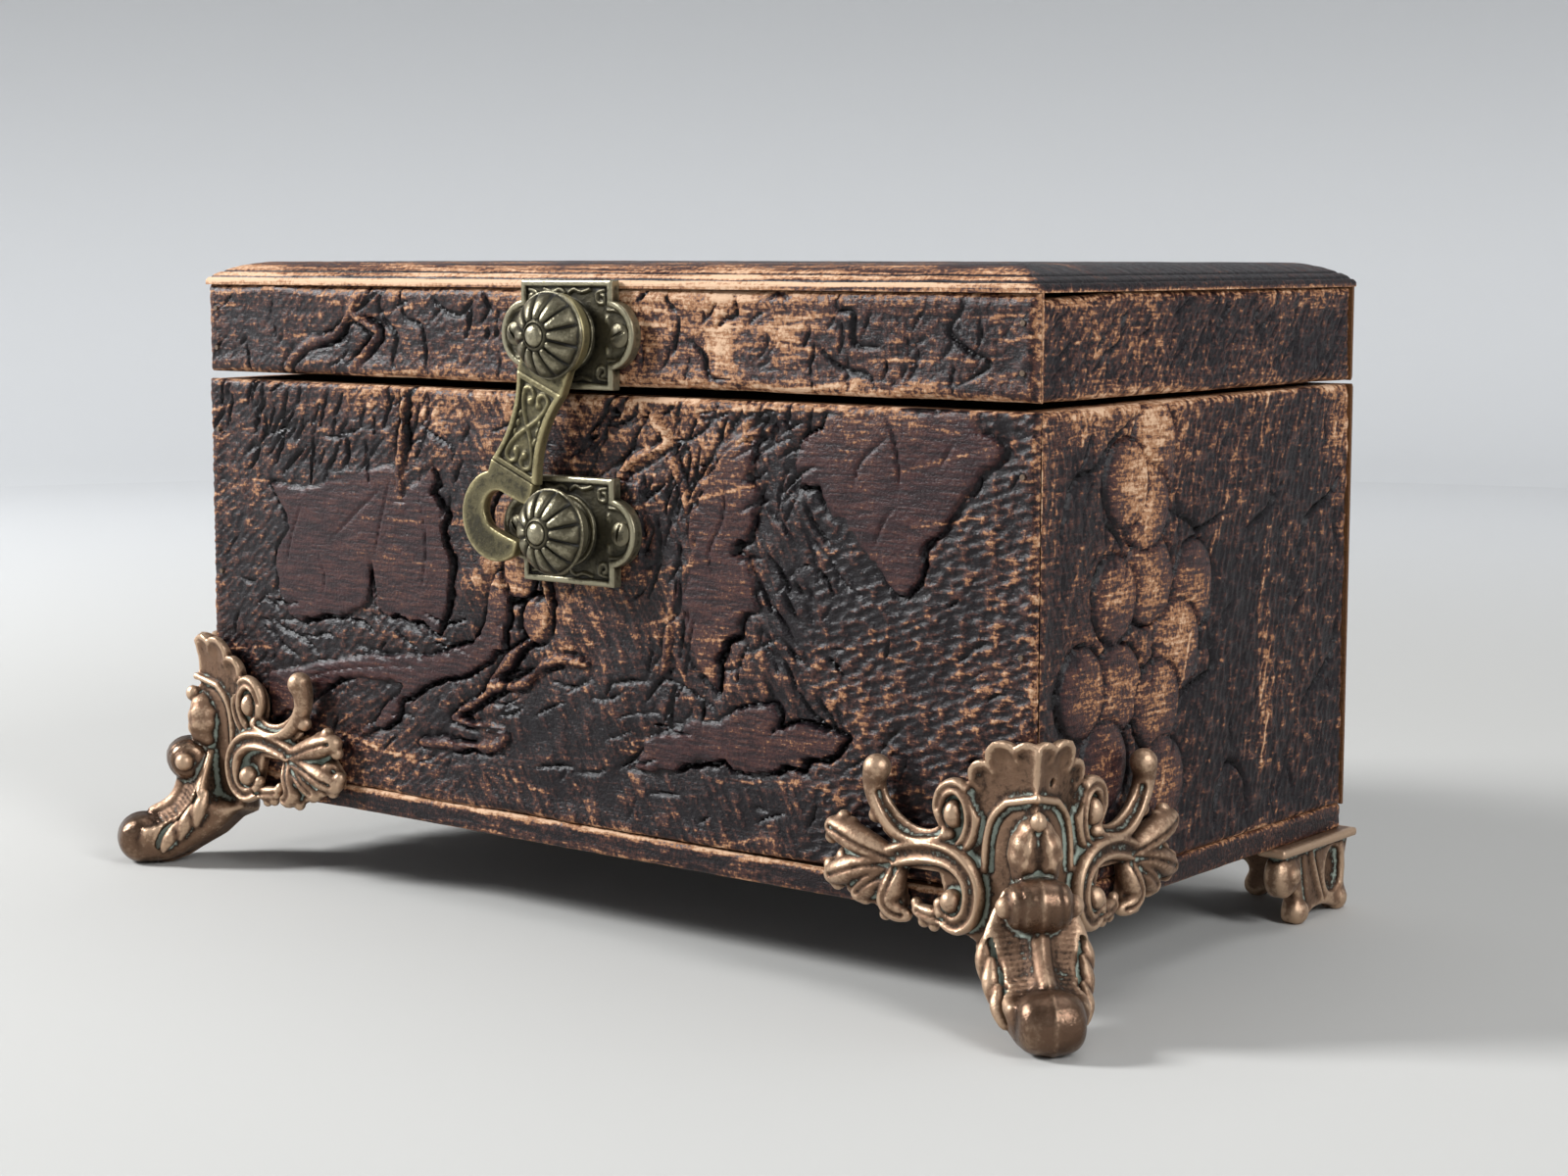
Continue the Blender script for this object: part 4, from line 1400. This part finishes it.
clay = newClay(*screwSize["grid"], screwSize["step"])
mould(clay, (-3, -3, -1), (3, 3, 1.2), screwHead, 0.05)
screw = castPiece("screw_source", clay, (0, 0, 0), screwBrass, sharp=35)
for level, body in (("lower", "case"), ("upper", "lid")):
    low, high = nodeBox(level + "_plate")
    centre = ((low[0] + high[0]) / 2, faceY - latchSize["thick"] + latchSize["recess"] - screwSize["set"],
              (low[2] + high[2]) / 2)
    spots = [(centre[0] + way * latchSize["screwReach"], centre[1], centre[2]) for way in (-1, 1)]
    piece = repeatOnPoints(level + "_plate_screw_heads", screw, spots, [(math.pi / 2, 0, 0)] * 2,
                           screwBrass, spin=screwSize["spin"], seed=screwSize["seeds"][body])
    settle(piece, body, "screw_brass", level + "_plate_screws")
bpy.data.objects.remove(screw)
print("hook and plate screws done")


# Camera at the photo's angle, tipped a little down as its converging uprights show.
viewSize = {"place": (0.4304, -0.5185, 0.1572), "tip": 83.08, "turn": 38.7, "lens": 63.22, "sensor": 36,
            "clip": 0.01}
camera = bpy.data.objects.new("camera", bpy.data.cameras.new("camera"))
scene.collection.objects.link(camera)
scene.camera = camera
camera.location = viewSize["place"]
camera.rotation_euler = (math.radians(viewSize["tip"]), 0, math.radians(viewSize["turn"]))
camera.data.lens = viewSize["lens"]
camera.data.sensor_width = viewSize["sensor"]
camera.data.clip_start = viewSize["clip"]
camera.data.dof.use_dof = False


# Pale round floor that curves up into a wall on every side: greyer near the box, lightest at the bend.
def backdropMaterial(name, near, bend, wall):
    material, tree = newMaterial(name)
    place = addNode(tree, "ShaderNodeTexCoord").outputs["Object"]
    parts = addNode(tree, "ShaderNodeSeparateXYZ", {0: place}).outputs
    ground = addNode(tree, "ShaderNodeCombineXYZ", {"X": parts["X"], "Y": parts["Y"]}).outputs[0]
    away = addNode(tree, "ShaderNodeVectorMath", {0: ground}, operation="LENGTH").outputs["Value"]
    colour = linear(near)
    for value, start, end, tone in ((away, 0.3, 1.3, bend), (parts["Z"], 0.05, 0.5, wall)):
        colour = mixTones(tree, ramp(tree, value, start, end), colour, linear(tone))
    dress(tree, {"Base Color": colour, "Roughness": 0.9})
    return material


stageSize = {"flat": 1.3, "bend": 0.6, "wall": 2.4, "segments": 96}
bends = np.radians(np.arange(0, 91, 7.5))
far = np.append(stageSize["flat"] + stageSize["bend"] * np.sin(bends),
                stageSize["flat"] + stageSize["bend"]) / mm
tall = np.append(stageSize["bend"] * (1 - np.cos(bends)), stageSize["wall"]) / mm
around = np.linspace(0, 2 * math.pi, stageSize["segments"], endpoint=False)[:, None]
points = np.stack((far * np.cos(around), far * np.sin(around), tall + 0 * around), -1).reshape(-1, 3)
index = np.arange(len(points)).reshape(stageSize["segments"], -1)
faces = ringFaces(index) + [index[:, 0].tolist()]
paper = backdropMaterial("matt_paper_sweep", "#b0afac", "#dddedf", "#b4b5b6")
floor = newPiece("studio_floor", points, faces, [paper])


def addLight(name, place, aim, power, size):
    light = bpy.data.lights.new(name, "AREA")
    light.energy = power
    light.color = (0.97, 0.985, 1.0)
    light.shape = "RECTANGLE"
    light.size, light.size_y = size
    lamp = bpy.data.objects.new(name, light)
    lamp.location = place
    lamp.rotation_euler = (Vector(aim) - Vector(place)).to_track_quat("-Z", "Y").to_euler()
    scene.collection.objects.link(lamp)


addLight("key_softbox", (-1.05, -0.75, 0.85), (0, 0, 0.07), 36, (0.34, 0.4))
addLight("right_softbox", (1.25, -0.25, 0.85), (0, 0, 0.07), 14, (0.45, 0.6))
addLight("top_softbox", (0.1, 0.4, 1.5), (0, 0, 0.1), 11, (1.2, 1.2))
world = bpy.data.worlds.new("studio_air")
world.use_nodes = True
air = world.node_tree.nodes["Background"].inputs
air["Color"].default_value = linear("#eceef2")
air["Strength"].default_value = 0.05
scene.world = world
scene.view_settings.view_transform = "Standard"
print("camera, floor and lights ready")

for group, material in (
        (("back_board", "lid_back_rim"), woodPlain),
        (("left_hinge_case_leaf", "right_hinge_case_leaf", "left_hinge_lid_leaf", "right_hinge_lid_leaf",
          "left_hinge_pin", "right_hinge_pin"), hingeBrass),
        (("lower_post", "upper_post", "lower_washer", "upper_washer"), latchBrass),
        (("hinge_case_screws", "hinge_lid_screws"), screwBrass),
        (("front_foot_screws", "rear_foot_screws"), screwSteel),
        (("corner_brads", "bottom_brads", "lid_corner_brads", "lid_top_brads"), nailSteel)):
    for name in group:
        nodes[name].data.materials.clear()
        nodes[name].data.materials.append(material)
